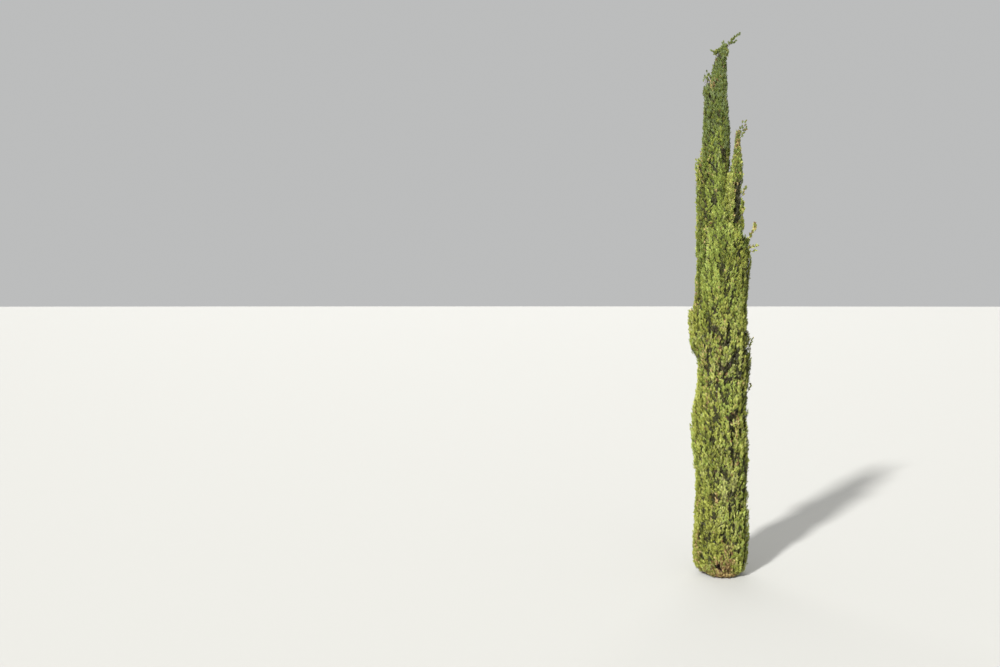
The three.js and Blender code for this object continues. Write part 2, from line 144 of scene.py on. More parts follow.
def columnReach(angle, height):
    side = np.cos(angle) ** 2
    left, right = along(column["leftReach"], height), along(column["rightReach"], height)
    sideways = np.where(np.cos(angle) > 0, right, left)
    front = np.sin(angle) < 0
    leftShift = np.where(front, column["frontShift"][0], column["backShift"][0])
    rightShift = np.where(front, column["frontShift"][1], column["backShift"][1])
    depth = (along(column["leftReach"], height + leftShift)
             + along(column["rightReach"], height + rightShift)) / 2
    depth = np.minimum(depth, column["mostDepth"] * (left + right) / 2)
    return depth + (sideways - depth) * side


def foliageReach(angle, height):
    # the same, with the small steps that only the sprays have
    side = np.cos(angle)
    left, right = (np.interp(height, *zip(*column[name])) for name in ("leftTrim", "rightTrim"))
    return columnReach(angle, height) + np.where(side < 0, left, right) * side**2


def footAt(angle):
    fromFront = turnBetween(-math.pi / 2, angle) / column["frontWidth"]
    return column["footHeight"] + column["frontRise"] * np.exp(-fromFront**2)


def evenHeights(share, low, high):
    # heights at which equal shares of the column's surface lie below
    levels = np.linspace(low, high, samples["levels"])
    around = np.linspace(0, 2 * math.pi, samples["around"], endpoint=False)
    reach = columnReach(around[None], levels[:, None])
    slope = np.gradient(reach, levels, axis=0)
    area = np.cumsum((reach * np.sqrt(1 + slope**2)).mean(1))
    return np.interp(share, (area - area[0]) / (area[-1] - area[0]), levels)


# Cells on the column's surface: each place belongs to the nearest centre, with heights squeezed.
def cellAt(cells, angle, height):
    size = columnReach(angle, height)[:, None]
    across = turnBetween(cells["angle"][None], angle[:, None]) * size
    apart = np.hypot(across, (height[:, None] - cells["height"][None]) / cells["stretch"])
    owner = apart.argmin(1)
    rows = np.arange(len(owner))
    mine = apart[rows, owner][:, None]
    aside = turnBetween(cells["angle"][None], cells["angle"][owner][:, None]) * size
    above = (cells["height"][None] - cells["height"][owner][:, None]) / cells["stretch"]
    between = np.maximum(np.hypot(aside, above), 1e-6)
    edge = (apart**2 - mine**2) / (2 * between)
    edge[rows, owner] = np.inf
    return owner, edge.min(1)


plume = {
    "count": 25, "lowest": 0.82, "highest": 11.45, "phase": 62, "turn": 137.50776, "stretch": 3.7,
    "spacing": [(0, 1), (6.0, 1.0), (9.0, 0.82), (12.0, 0.55)],
    "top": 11.7, "gap": 0.011, "leastSpan": 0.12, "widest": 2.4,
    "creaseDepth": 0.062, "creaseWidth": 0.15,
}


def plumeCells():
    share = np.arange(plume["count"]) / plume["count"]
    lowest, highest = plume["lowest"], plume["highest"]
    step = along(plume["spacing"], lowest + (highest - lowest) * share)
    rise = (highest - lowest) / ((1 / step).sum() * step)
    height = lowest + np.concatenate([[0], np.cumsum(rise)[:-1]])
    angle = np.radians(plume["phase"] + np.arange(plume["count"]) * plume["turn"])
    return {"angle": angle, "height": height, "stretch": plume["stretch"]}


plumes = plumeCells()


# The middle angle of each plume at each level, and whether it holds any of that level.
def plumeSpans(index, levels):
    angle = plumes["angle"][index] + np.linspace(-plume["widest"], plume["widest"], samples["span"])
    angles, heights = np.broadcast_arrays(angle[None], levels[:, None])
    owner, edge = cellAt(plumes, angles.ravel(), heights.ravel())
    held = (owner == index) & (edge > plume["gap"])
    held &= (heights > footAt(angles)).ravel() & (heights < plume["top"]).ravel()
    held = held.reshape(angles.shape)
    first = angle[held.argmax(1)]
    last = angle[samples["span"] - 1 - held[:, ::-1].argmax(1)]
    return (first + last) / 2, held.any(1) & (last - first > plume["leastSpan"])


def smoothPath(points, count):
    # a curve through the points
    points = np.asarray(points, float)
    ends = np.array([2 * points[0] - points[1], *points, 2 * points[-1] - points[-2]])
    t = np.linspace(0, len(points) - 1, count)
    k = np.minimum(t.astype(int), len(points) - 2)
    start, stop, into, out = curveWeights((t - k)[:, None])
    slopes = (ends[2:] - ends[:-2]) / 2
    return start * ends[k + 1] + stop * ends[k + 2] + into * slopes[k] + out * slopes[k + 1]


def added(name, data):
    made = bpy.data.objects.new(name, data)
    bpy.context.scene.collection.objects.link(made)
    return made


# Joined meshes from arrays.
def newPiece(name, points, faces, material, slot, replaced=(), smooth=False):
    mesh = bpy.data.meshes.new(name)
    sides = faces.shape[1]
    mesh.vertices.add(len(points))
    mesh.vertices.foreach_set("co", np.asarray(points, np.float32).ravel())
    mesh.loops.add(faces.size)
    mesh.loops.foreach_set("vertex_index", faces.astype(np.int32).ravel())
    mesh.polygons.add(len(faces))
    mesh.polygons.foreach_set("loop_start", np.arange(0, faces.size, sides, dtype=np.int32))
    mesh.polygons.foreach_set("use_smooth", np.full(len(faces), smooth))
    mesh.update(calc_edges=True)
    mesh.validate()
    mesh.materials.append(material)
    piece = added(name, mesh)
    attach(piece, "root")
    if replaced:
        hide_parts(*replaced)
    return piece


def ringFaces(rings, sides):
    # the quads between the rings of a tube
    k, i = np.meshgrid(np.arange(rings - 1), np.arange(sides), indexing="ij")
    here, beside = k * sides + i, k * sides + (i + 1) % sides
    return np.stack([here, beside, beside + sides, here + sides], -1).reshape(-1, 4)


# Many tubes at once. paths is (tubes, rings, 3), radii (tubes, rings), and aside never runs along a path.
def tubes(paths, radii, sides, aside):
    count, rings = paths.shape[:2]
    ahead = unit(np.gradient(paths, axis=1))
    across = unit(np.cross(ahead, aside[:, None, :]))
    rise = np.cross(across, ahead)
    turn = ringAngles(sides)
    ring = across[:, :, None] * np.cos(turn)[:, None] + rise[:, :, None] * np.sin(turn)[:, None]
    points = (paths[:, :, None] + radii[:, :, None, None] * ring).reshape(-1, 3)
    first = np.arange(count) * rings * sides
    return points, (ringFaces(rings, sides)[None] + first[:, None, None]).reshape(-1, 4)


# Shader maths, written as sums on sockets.
class Wire:
    def __init__(self, finish, socket):
        self.finish, self.socket = finish, socket

    def maths(self, operation, first, second):
        settings = {"operation": operation}
        return self.finish.node("ShaderNodeMath", settings, {0: first, 1: second})

    def __add__(self, other):
        return self.maths("ADD", self, other)

    def __sub__(self, other):
        return self.maths("SUBTRACT", self, other)

    def __rsub__(self, other):
        return self.maths("SUBTRACT", other, self)

    def __mul__(self, other):
        return self.maths("MULTIPLY", self, other)

    __radd__, __rmul__ = __add__, __mul__


class Finish:
    def __init__(self, name):
        self.material = bpy.data.materials.new(name)
        self.material.use_nodes = True
        self.tree = self.material.node_tree
        self.surface = self.tree.nodes["Principled BSDF"]

    def give(self, socket, value):
        if isinstance(value, Wire):
            self.tree.links.new(value.socket, socket)
        else:
            socket.default_value = value

    def node(self, kind, settings=None, inputs=None, output=0):
        made = self.tree.nodes.new(kind)
        for key, value in (settings or {}).items():
            if key == "stops":
                ramp = made.color_ramp
                while len(ramp.elements) < len(value):
                    ramp.elements.new(1)
                for element, (position, colour) in zip(ramp.elements, value):
                    element.position, element.color = position, colour
            else:
                setattr(made, key, value)
        for key, value in (inputs or {}).items():
            self.give(made.inputs[key], value)
        return Wire(self, made.outputs[output])

    def noise(self, where, scale, detail):
        inputs = {"Vector": where, "Scale": scale, "Detail": detail}
        return self.node("ShaderNodeTexNoise", None, inputs)

    def mix(self, share, first, second):
        settings = {"data_type": "RGBA"}  # its colours are sockets 6 and 7, and output 2
        return self.node("ShaderNodeMix", settings, {0: share, 6: first, 7: second}, 2)

    def wear(self, **inputs):
        for name, value in inputs.items():
            self.give(self.surface.inputs[name.replace("_", " ")], value)
        return self.material


def tone(red, green, blue):
    # a colour read as 0 to 255 on the screen, as the light that the shader works in
    share = np.array([red, green, blue]) / 255
    light = np.where(share > 0.04045, ((share + 0.055) / 1.055) ** 2.4, share / 12.92)
    return (*light, 1.0)


# Camera

view = {
    "place": (0, -24.0, 6.54), "left": 12.92, "down": 1.75, "focal": 970, "across": 1000, "sensor": 36,
    "farthest": 6000,
}
camera = added("camera", bpy.data.cameras.new("camera"))
camera.location = view["place"]
camera.rotation_euler = (math.radians(90 - view["down"]), 0, math.radians(view["left"]))
camera.data.sensor_width = view["sensor"]
camera.data.lens = view["sensor"] * view["focal"] / view["across"]
camera.data.clip_end = view["farthest"]
bpy.context.scene.camera = camera
print("camera ready")

# Bark: the trunk, the second leader and the boughs

bark = {
    "grey": tone(118, 104, 88), "shoot": tone(84, 62, 50), "brown": tone(92, 66, 46),
    "dark": tone(48, 36, 28),
    "stretch": 0.12, "strips": (60, 6), "patches": (5, 3), "cracks": (0.34, 0.62), "relief": (0.7, 0.3),
    "rough": (0.98, 0.16), "bump": (0.7, 0.01), "sides": 84, "rings": 150, "crowding": 2.1,
    "fissure": 0.009, "fissureRadius": 0.12, "fissureRounds": (9, 14, 19, 27), "fissureMean": 0.64,
    "fissureSeed": 11, "wander": 1.6, "wanderPace": (1.6, 3.2), "twist": 2, "limbSides": 9, "limbRings": 26,
}


def barkFinish(name, grey):
    finish = Finish(name)
    where = finish.node("ShaderNodeTexCoord", output=3)
    long = finish.node("ShaderNodeMapping", None, {0: where, "Scale": (1, 1, bark["stretch"])})
    strips = finish.noise(long, *bark["strips"])
    patches = finish.noise(where, *bark["patches"])
    stops = list(zip(bark["cracks"], [(0, 0, 0, 1), (1, 1, 1, 1)]))
    ridges = finish.node("ShaderNodeValToRGB", {"stops": stops}, {0: strips})
    worn = finish.mix(patches, bark["brown"], grey)
    colour = finish.mix(ridges, bark["dark"], worn)
    relief = strips * bark["relief"][0] + patches * bark["relief"][1]
    strength, distance = bark["bump"]
    bump = finish.node("ShaderNodeBump", None, {"Strength": strength, "Distance": distance, "Height": relief})
    rough, smoother = bark["rough"]
    return finish.wear(Base_Color=colour, Roughness=rough - strips * smoother, Normal=bump)


barkMaterial = barkFinish("bark", bark["grey"])
shootMaterial = barkFinish("shootBark", bark["shoot"])


def fissures(angle, height):
    # ridges that run up the trunk, wander, and meet, less their mean
    draw = np.random.default_rng(bark["fissureSeed"])
    ridge = np.zeros(np.broadcast(angle, height).shape)
    for lobes in bark["fissureRounds"]:
        wander = bark["wander"] * np.sin(height * draw.uniform(*bark["wanderPace"]) + draw.uniform(0, 6))
        twist = height * draw.uniform(-bark["twist"], bark["twist"])
        ridge += np.abs(np.sin(lobes * angle / 2 + wander + twist))
    return ridge / len(bark["fissureRounds"]) - bark["fissureMean"]


def trunkBark():
    sides, rings = bark["sides"], bark["rings"]
    height = trunk["tip"] * (np.arange(rings) / (rings - 1)) ** bark["crowding"]
    angles, heights = np.meshgrid(ringAngles(sides), height)
    radius = along(trunk["radius"], heights)
    flare = trunk["lobeDepth"] * np.cos(trunk["lobes"] * angles) * np.exp(-heights / trunk["lobeHeight"])
    depth = bark["fissure"] * np.minimum(radius / bark["fissureRadius"], 1)
    radius = radius * (1 + flare) + depth * fissures(angles, heights)
    points = place(angles, radius, heights).reshape(-1, 3)
    # a fan of quads closes the flat cut
    i = np.arange(0, sides, 2)
    cut = np.stack([np.full(len(i), len(points)), (i + 2) % sides, i + 1, i], -1)
    middle = [[*trunkCentre(0.0), 0.0]]
    return np.concatenate([points, middle]), np.concatenate([ringFaces(rings, sides), cut])


newPiece("trunkBark", *trunkBark(), barkMaterial, "bark", ["trunk"], smooth=True)

leader = {
    "path": [
        (-0.03, -0.04, 5.5), (0.06, -0.062, 6.1), (0.112, -0.05, 7.0), (0.19, -0.02, 7.9),
        (0.286, 0, 8.6), (0.302, 0.004, 9.5), (0.333, 0, 10.7),
    ],
    "footRadius": 0.042, "tipRadius": 0.008, "rings": 70, "sides": 12, "knots": (0.06, 1.9),
    "reach": [
        (8.1, 0.19), (8.48, 0.175), (8.7, 0.16), (9.1, 0.15), (9.7, 0.145), (10.0, 0.115), (10.2, 0.078),
        (10.45, 0.056), (10.68, 0.03),
    ],
    "depth": 1.3, "from": 8.36,
    "divide": [(8.3, 0.16), (9.95, 0.16), (10.2, 0.16)],
    "overlap": [(8.3, 0.06), (9.9, 0.05), (10.2, -0.014)],
}
leaderLine = smoothPath(leader["path"], samples["line"])


def leaderCentre(height):
    x, y, z = leaderLine.T
    return np.stack([np.interp(height, z, x), np.interp(height, z, y)], -1)


bough = {
    "rise": 0.62, "risePart": 0.55, "entry": 0.15, "entryOut": 0.46, "slender": 0.6,
    "footRadius": 0.027, "tipRadius": 0.015, "stemTip": 0.005, "levels": [(0.3, 0.6), (0.9, 0.74)],
    "treeHeight": 13.0, "step": 0.04, "joint": 0.04, "rootOut": 0.4, "halfway": 0.4, "knots": (0.07, 2.3),
}


# The limb and stem of each plume: out of the trunk, up inside the column, and on through the plume.
def boughLines():
    levels = np.arange(column["footHeight"], plume["top"], bough["step"])
    lines, radii, sides = [], [], []
    for index in range(plume["count"]):
        held = levels[plumeSpans(index, levels)[1]]
        low, high = held[0], held[-1]
        entry = low + bough["entry"] * (high - low)
        start = entry - min(bough["rise"], entry * bough["risePart"])
        wanted = np.array([entry, *(entry + (high - entry) * level for level, _ in bough["levels"])])
        angle = plumeSpans(index, wanted)[0]
        inTrunk = along(trunk["radius"], start)
        entryOut = bough["entryOut"] * columnReach(angle[0], entry)
        halfOut = max(inTrunk + bough["halfway"] * (entryOut - inTrunk), inTrunk + 2 * bough["tipRadius"])
        knots = [
            place(angle[0], inTrunk * bough["rootOut"], start),
            place(angle[0], halfOut, (start + entry) / 2),
            place(angle[0], entryOut, entry),
        ]
        for (_, share), turn, height in zip(bough["levels"], angle[1:], wanted[1:]):
            knots.append(place(turn, share * columnReach(turn, height), height))
        line = smoothPath(knots, bark["limbRings"])
        t = np.linspace(0, 1, bark["limbRings"])
        joint = np.interp(entry - bough["joint"], line[:, 2], t)
        slender = 1 + (bough["slender"] - 1) * entry / bough["treeHeight"]
        thick = np.interp(t, [0, joint, 1], [bough["footRadius"], bough["tipRadius"], bough["stemTip"]])
        lines.append(line)
        radii.append(slender * thick)
        sides.append(outwards(angle[0]))
    return np.array(lines), np.array(radii), np.array(sides)


def knotty(count, depth, pace):
    return 1 + depth * np.sin(np.arange(count) * pace)


boughPaths, boughRadii, boughSides = boughLines()
boughRadii = boughRadii * knotty(bark["limbRings"], *bough["knots"])
boughTubes = tubes(boughPaths, boughRadii, bark["limbSides"], boughSides)
boughNodes = [f"bough_{i + 1:02d}" for i in range(plume["count"])]
newPiece("boughs", *boughTubes, barkMaterial, "bark", boughNodes, smooth=True)

leaderPath = smoothPath(leader["path"], leader["rings"])[None]
thick = np.linspace(leader["footRadius"], leader["tipRadius"], leader["rings"])
thick = thick * knotty(leader["rings"], *leader["knots"])
leaderTube = tubes(leaderPath, thick[None], leader["sides"], np.array([[1.0, 0, 0]]))
newPiece("secondLeaderBark", *leaderTube, barkMaterial, "bark", ["second_leader"], smooth=True)
print("bark done")

# Places where the front of the column differs. Each row: a line or a spot of (x, z), its half size or
# (half width, half height), how far it is drawn in, the share of withered sprays it adds, its tone, and
# the share of tufts it lacks, where more than 1 clears it
marks = [
    # crevices, darkened with painted shade
    ([(0.38, 5.37), (0.3, 5.28), (0.15, 5.17), (0.05, 5.04)], (0.05, 0.08), 0.09, 0.3, -0.6, 2.6),
    ([(0.08, 4.9), (0.1, 4.68)], 0.05, 0.14, 0.4, -0.9, 1.9),
    ([(0.1, 4.46), (0.09, 4.22)], 0.055, 0.14, 0.6, -0.9, 1.9),
    ([(0.15, 6.1), (0.14, 5.55)], 0.04, 0.13, 0, -1.2, 1.4),
    ([(0.25, 3.62), (0.3, 3)], 0.035, 0.12, 0.2, -1, 1.1),
    ([(0.25, 2.12), (0.22, 1.5)], 0.035, 0.12, 0, -1, 1.1),
    ([(0.48, 1.92), (0.48, 1.65)], 0.03, 0.1, 0, -1, 1.1),
    ([(-0.235, 3.72), (-0.25, 3.25)], 0.035, 0.1, 0.1, -1, 1),
    ([(-0.16, 4.75), (-0.13, 4.42)], 0.03, 0.1, 0.1, -1, 0.55),
    ([(-0.5, 1.3), (-0.49, 1.04)], 0.03, 0.08, 0, -0.9, 1),
    ([(0.07, 1.12), (0.07, 0.88)], 0.03, 0.1, 0.1, -0.9, 1),
    ([(0.32, 0.92), (0.47, 0.95)], (0.04, 0.06), 0.08, 0, -0.8, 0.44),
    ([(-0.18, 6.02), (-0.2, 5.84)], 0.035, 0.1, 0.5, -1, 1),
    ([(-0.39, 5.38), (-0.39, 5.22)], 0.03, 0.1, 0.5, -1, 1),
    ([(-0.38, 6.32), (-0.37, 6.16)], 0.03, 0.08, 0.2, -0.9, 1),
    # between the two leaders: the crease darkened with painted shade, and paler where drawn out
    ([(0.38, 9.4), (0.37, 9.1), (0.34, 8.85), (0.3, 8.55)], 0.09, 0.16, 0, -2.2, 1.5),
    ([(0.03, 10.25), (0.05, 9.92)], 0.04, 0.12, 0, -1.3, 0.715),
    ([(0.03, 9.7), (0.02, 9.3)], 0.05, 0.03, 0, -0.3, 0.165),
    ([(-0.14, 11.3), (-0.12, 10.3), (-0.1, 9.35)], 0.08, -0.08, 0, 0.3, -0.165),
    ([(0.2, 8.56), (0.16, 8.22)], 0.07, -0.02, 0, 0.5, -0.275),
    # the right edge, darkened with painted shade
    ([(0.58, 7.1), (0.6, 5.5)], 0.05, 0, -0.2, -0.9, 0),
    ([(0.66, 5.4), (0.64, 4.2)], 0.06, 0, -0.5, -0.9, 0),
    ([(0.61, 2.85), (0.6, 1.95)], 0.045, 0, -0.2, -0.9, 0),
    ([(0.61, 1.05), (0.58, 0.35)], 0.05, 0, -0.2, -0.9, 0),
    # broad paler and darker areas
    ([(-0.42, 9.7), (-0.42, 8.1)], 0.16, 0, 0, 0.3, 0),
    ([(-0.05, 9.2), (0, 7.5)], 0.17, 0, 0, -0.25, 0),
    ([(-0.5, 6.6), (-0.5, 5.75)], 0.16, 0, 0, 0.25, 0),
    ([(0.45, 5.25), (0.42, 4.5)], 0.12, 0, 0, 0.4, 0),
    ([(-0.42, 4.95), (-0.42, 4.5)], 0.15, 0, 0, -0.25, 0),
    ([(-0.45, 3.6), (-0.45, 2.8)], 0.17, 0, 0, -0.3, 0),
    ([(-0.02, 2.45), (0, 2.15)], 0.12, 0, 0, 0.3, 0),
    # withered patches
    ([(0.33, 3.93)], (0.09, 0.13), 0.04, 1.1, -0.3, 0.165),
    ([(0.33, 2.88)], (0.08, 0.17), 0.07, 0.8, -0.8, 0.44),
    ([(0.09, 2.5)], (0.05, 0.11), 0.06, 0.6, -0.4, 0.22),
    ([(-0.165, 1.93)], 0.1, 0.07, 1.7, -0.4, 0.22),
    ([(-0.08, 0.38), (0.2, 0.4)], (0.09, 0.12), 0.02, 0.9, 0.1, -0.055),
    ([(0.33, 0.66)], 0.08, 0.02, 0.5, 0, 0),
    ([(-0.5, 5.6), (-0.34, 5.5)], 0.07, 0, 0.35, 0.1, -0.055),
    ([(-0.42, 5.15)], (0.1, 0.16), 0.01, 0.3, 0, 0),
    ([(-0.06, 6.1), (-0.1, 4.3)], 0.05, 0.02, 0.22, -0.1, 0.055),
    ([(0.24, 9.4)], (0.08, 0.12), 0, 0.4, 0.2, -0.11),
    ([(-0.28, 11.8)], (0.07, 0.1), 0, 0.4, -0.4, 0.22),
]
marksBehind = 0.04  # so far behind the trunk's middle the marks still hold


def marksAt(tips):
    # how far the marks draw a place in, dry it, shift its tone and clear it
    total = np.zeros((4, len(tips)))
    front = tips[:, 1] < trunkCentre(tips[:, 2])[:, 1] + marksBehind
    for line, size, *effects in marks:
        line = np.array(line, float) / size
        at = tips[:, ::2] / size
        apart = np.hypot(*(at - line[0]).T)
        for start, stop in zip(line[:-1], line[1:]):
            t = np.clip((at - start) @ (stop - start) / ((stop - start) ** 2).sum(), 0, 1)
            apart = np.minimum(apart, np.linalg.norm(at - start - t[:, None] * (stop - start), axis=1))
        total += np.array(effects)[:, None] * np.where(front, np.exp(-(apart**2)), 0)
    return total


# Foliage: upright tufts over the whole surface, each of a few sprays, each spray of small leaves.
# A tone is below 0 for dark and above 0 for pale. A pair of lists gives values at heights, or, for a side,
# across the front from left to right.

tongue = {
    "count": 330, "stretch": 4.5, "phase": 1.1, "scatter": 0.1, "height": (0.1, 11.95),
    "creaseDepth": 0.06, "creaseWidth": 0.055, "offset": (-0.028, 0.012), "tone": (0.15, 0.4), "lean": 0.13,
    "dryShare": 0.1, "dry": (0.1, 0.3), "dryAbove": ([6, 9], [1, 0.25]),
}
tuft = {
    "count": 9000, "spacing": 0.075, "jitter": 0.4, "height": (0.12, 12.79), "below": 0.005,
    "footClear": 0.03, "length": (0.12, 0.2), "outward": (0.12, 0.45), "lookUp": (-0.5, 2.5), "fan": 0.1,
    "inside": 0.016, "least": 0.02, "depth": 0.03, "streak": 0.02, "streakMost": 0.4, "gap": 0.1,
    "gapFrom": 0.8, "thin": -1.25, "rough": ([5.5, 7, 10], [1.05, 0.55, 0.45]), "roughSide": 0.35,
    "fade": 0.3, "scale": ([11.5, 12.8], [1, 0.76]), "creasePaintedShade": 0.35, "broadTone": 0.13,
    "streakPaintedShading": 0.1,
    "topTone": ([6.2, 7, 8.5, 9.5, 10.4, 11.2, 12.2], [0, 0.14, 0.24, 0.26, 0.5, 1.05, 1.6]),
    "paintedSideShading": ([-1, -0.6, -0.2, 0.2, 0.6, 0.85, 1], [-0.65, -0.3, 0.04, 0.14, -0.02, -0.3, -0.7]),
    "front": 0.3, "topPaintedShade": 0.25, "topPaintedShadeFrom": 8.5, "sage": (0.12, 0.16), "freshVary": 0.2,
    "fresh": ([0, 3, 6, 9, 10.5, 12.5], [0.1, 0.25, 0.42, 0.6, 0.85, 0.9]),
}
waves = {"streak": (0.03, 0.1, 5), "broad": (0.13, 0.6, 6), "fresh": (0.22, 0.7, 8), "sage": (0.25, 0.5, 9)}
leaderHome, looseHome = -1, -2  # stand for a tongue where a tuft grows elsewhere
rng = np.random.default_rng(7351)


def wavering(angle, height, wide, tall, seed):
    # a smooth random value round the column, about as wide and tall as asked, with a spread of 1
    draw = np.random.default_rng(seed)
    total = np.zeros(len(angle))
    count = 60
    for _ in range(count):
        lobes = round(draw.normal(0, column["usualReach"] / wide))
        total += np.cos(lobes * angle + draw.normal(0, 1 / tall) * height + draw.uniform(0, 6.3))
    return total / math.sqrt(count / 2)


def tongueCells():
    count, scatter = tongue["count"], tongue["scatter"]
    return {
        "angle": np.arange(count) * golden + rng.normal(0, scatter, count) + tongue["phase"],
        "height": evenHeights(evenShares(count), *tongue["height"]) + rng.normal(0, scatter, count),
        "stretch": tongue["stretch"],
    }


tongues = tongueCells()
tongueOffset = rng.uniform(*tongue["offset"], tongue["count"])
toneSpread, toneMost = tongue["tone"]
tongueTone = np.clip(rng.normal(0, toneSpread, tongue["count"]), -toneMost, toneMost)
driedOut = rng.random(tongue["count"]) < tongue["dryShare"]
tongueDry = np.where(driedOut, rng.uniform(*tongue["dry"], tongue["count"]), 0)
tongueDry *= np.interp(tongues["height"], *tongue["dryAbove"])
tongueLean = rng.normal(0, tongue["lean"], tongue["count"])


# The foot: tufts that hang to the ground in front, round a gap where the trunk shows. The gap and the
# withered place near it are a middle and half sizes.
foot = {
    "count": 390, "angle": (-178, -2), "height": (0.05, 0.46), "crowding": 1.5, "reach": 0.95,
    "reachVary": (0.86, 1), "reachAt": ([0, 0.3], [0.86, 1]), "above": 0.12, "gap": (-0.05, 0.3, 0.08, 0.11),
    "dry": 0.08, "nearDry": 1.6, "nearAside": 0.1, "nearWidth": 0.24, "nearHeight": 0.4, "dryVary": (0.4, 1),
    "clear": 0.075, "lower": 0.065, "middle": (0.1, 0.4), "uneven": 0.025, "unevenPace": 31, "least": 0.045,
    "length": (0.09, 0.14), "outward": 0.5, "scatter": 0.25, "scale": 0.9, "tone": (-0.05, 0.4),
    "fresh": 0.3, "sage": 0.2,
}


def footLength(tip, length):
    # the lowest tufts end clear of the ground, and only in the middle of the front they hang down to it
    middle, width = foot["middle"]
    lower = np.where(tip[:, 1] < 0, np.exp(-(((tip[:, 0] - middle) / width) ** 4)), 0)
    uneven = foot["uneven"] * np.sin(tip[:, 0] * foot["unevenPace"]) * (1 - lower)
    return np.minimum(length, tip[:, 2] - (foot["clear"] - foot["lower"] * lower + uneven))


def beyondDivide(tips, side):
    # above the fork the two leaders keep apart, and only their lower parts grow into one another
    gap = (tips[:, 0] - along(leader["divide"], tips[:, 2])) * side
    return (tips[:, 2] > leader["from"]) & (gap > along(leader["overlap"], tips[:, 2]))


def tuftGroup(keep=slice(None), **values):
    # the kept tufts of a group, where a single number stands for all of them
    count = len(values["tip"])
    full = {key: value if np.ndim(value) else np.full(count, value) for key, value in values.items()}
    return {key: value[keep] for key, value in full.items()}


def columnTufts():
    count = tuft["count"]
    low, high = tuft["height"]
    height = evenHeights(evenShares(count), low, column["top"] - tuft["below"])
    height = np.clip(height + rng.uniform(-1, 1, count) * tuft["jitter"] * tuft["spacing"], low, high)
    angle = np.arange(count) * golden
    aside = rng.uniform(-1, 1, count) * tuft["jitter"] * tuft["spacing"] / columnReach(angle, height)
    angle = np.mod(angle + aside, 2 * math.pi)
    keep = height > footAt(angle) + tuft["footClear"]
    angle, height = angle[keep], height[keep]
    count = len(angle)
    reach = foliageReach(angle, height)
    _, plumeEdge = cellAt(plumes, angle, height)
    index, edge = cellAt(tongues, angle, height)
    # creases between the plumes and the tongues, uneven depth, streaks and marks draw the tips in
    lower = np.clip((plume["top"] - height) / tuft["fade"], 0, 1)
    sink = plume["creaseDepth"] * (1 - np.clip(plumeEdge / plume["creaseWidth"], 0, 1)) ** 2 * lower
    crease = (1 - np.clip(edge / tongue["creaseWidth"], 0, 1)) ** 2
    rough = np.interp(height, *tuft["rough"]) * (1 + tuft["roughSide"] * np.cos(angle))
    streak = wavering(angle, height, *waves["streak"]) * rough
    sink += (tongue["creaseDepth"] * crease - tongueOffset[index]) * lower
    sink += tuft["depth"] * rng.random(count) ** 2 + tuft["streak"] * np.clip(-streak, -tuft["streakMost"], 1)
    sink += tuft["gap"] * np.clip(-streak - tuft["gapFrom"], 0, 1)
    markSink, dry, dark, cut = marksAt(place(angle, reach, height))
    sunk = np.maximum(sink + markSink, 0)
    tip = place(angle, np.maximum(reach - tuft["inside"] - sunk, tuft["least"]), height)
    # the outward direction also looks up where the column narrows
    step = 0.04
    slope = (columnReach(angle, height + step) - columnReach(angle, height - step)) / (2 * step)
    out = unit(outwards(angle, np.clip(-slope, *tuft["lookUp"])))
    outward = rng.uniform(*tuft["outward"], count)[:, None]
    fan = (tongueLean[index] + rng.normal(0, tuft["fan"], count))[:, None]
    scale = np.interp(height, *tuft["scale"])
    # painted shading across the front: darker at the left and right edges and paler in the middle, and
    # painted shade on the right side above the fork
    paintedSideShading = np.clip(tuft["front"] - np.sin(angle), 0, 1) * np.interp(np.cos(angle), *tuft["paintedSideShading"])
    fromTop = np.clip(height - tuft["topPaintedShadeFrom"], 0, 1)
    paintedSideShading -= tuft["topPaintedShade"] * np.clip(np.cos(angle), 0, 1) * fromTop
    # painted shade in the creases between the tongues and, through the marks, in the crevices; along the
    # streaks, painted shade where they sink and painted light where they stand out
    shade = tongueTone[index] + dark - tuft["creasePaintedShade"] * crease * lower
    shade += tuft["broadTone"] * wavering(angle, height, *waves["broad"])
    shade += tuft["streakPaintedShading"] * streak + paintedSideShading - np.interp(height, *tuft["topTone"])
    fresh = np.interp(height, *tuft["fresh"])
    sage, sageVary = tuft["sage"]
    length = footLength(tip, rng.uniform(*tuft["length"], count) * scale)
    keep = ~beyondDivide(tip, 1) & (streak > tuft["thin"]) & (rng.random(count) > cut)
    return tuftGroup(
        keep & (length > foot["least"]),
        tip=tip, out=out, ahead=unit(up + outward * out + fan * sideways(angle)), scale=scale, tone=shade,
        fresh=fresh + tuft["freshVary"] * wavering(angle, height, *waves["fresh"]),
        sage=sage + sageVary * wavering(angle, height, *waves["sage"]),
        dry=dry + tongueDry[index], length=length, tongue=index,
    )


leaderTuft = {
    "count": 430, "crowding": 1.1, "phase": 0.6, "drawnIn": 0.03, "least": 0.03, "lookUp": 0.2,
    "outward": (0.1, 0.5), "fan": 0.12, "scale": 0.9, "tone": (-0.5, 0.3),
    "dry": ([9.8, 10.4], [0.01, 0.31]), "fresh": ([9.8, 10.4], [0.6, 0.3]),
    "sage": ([9.8, 10.4], [0.12, 0.42]),
}


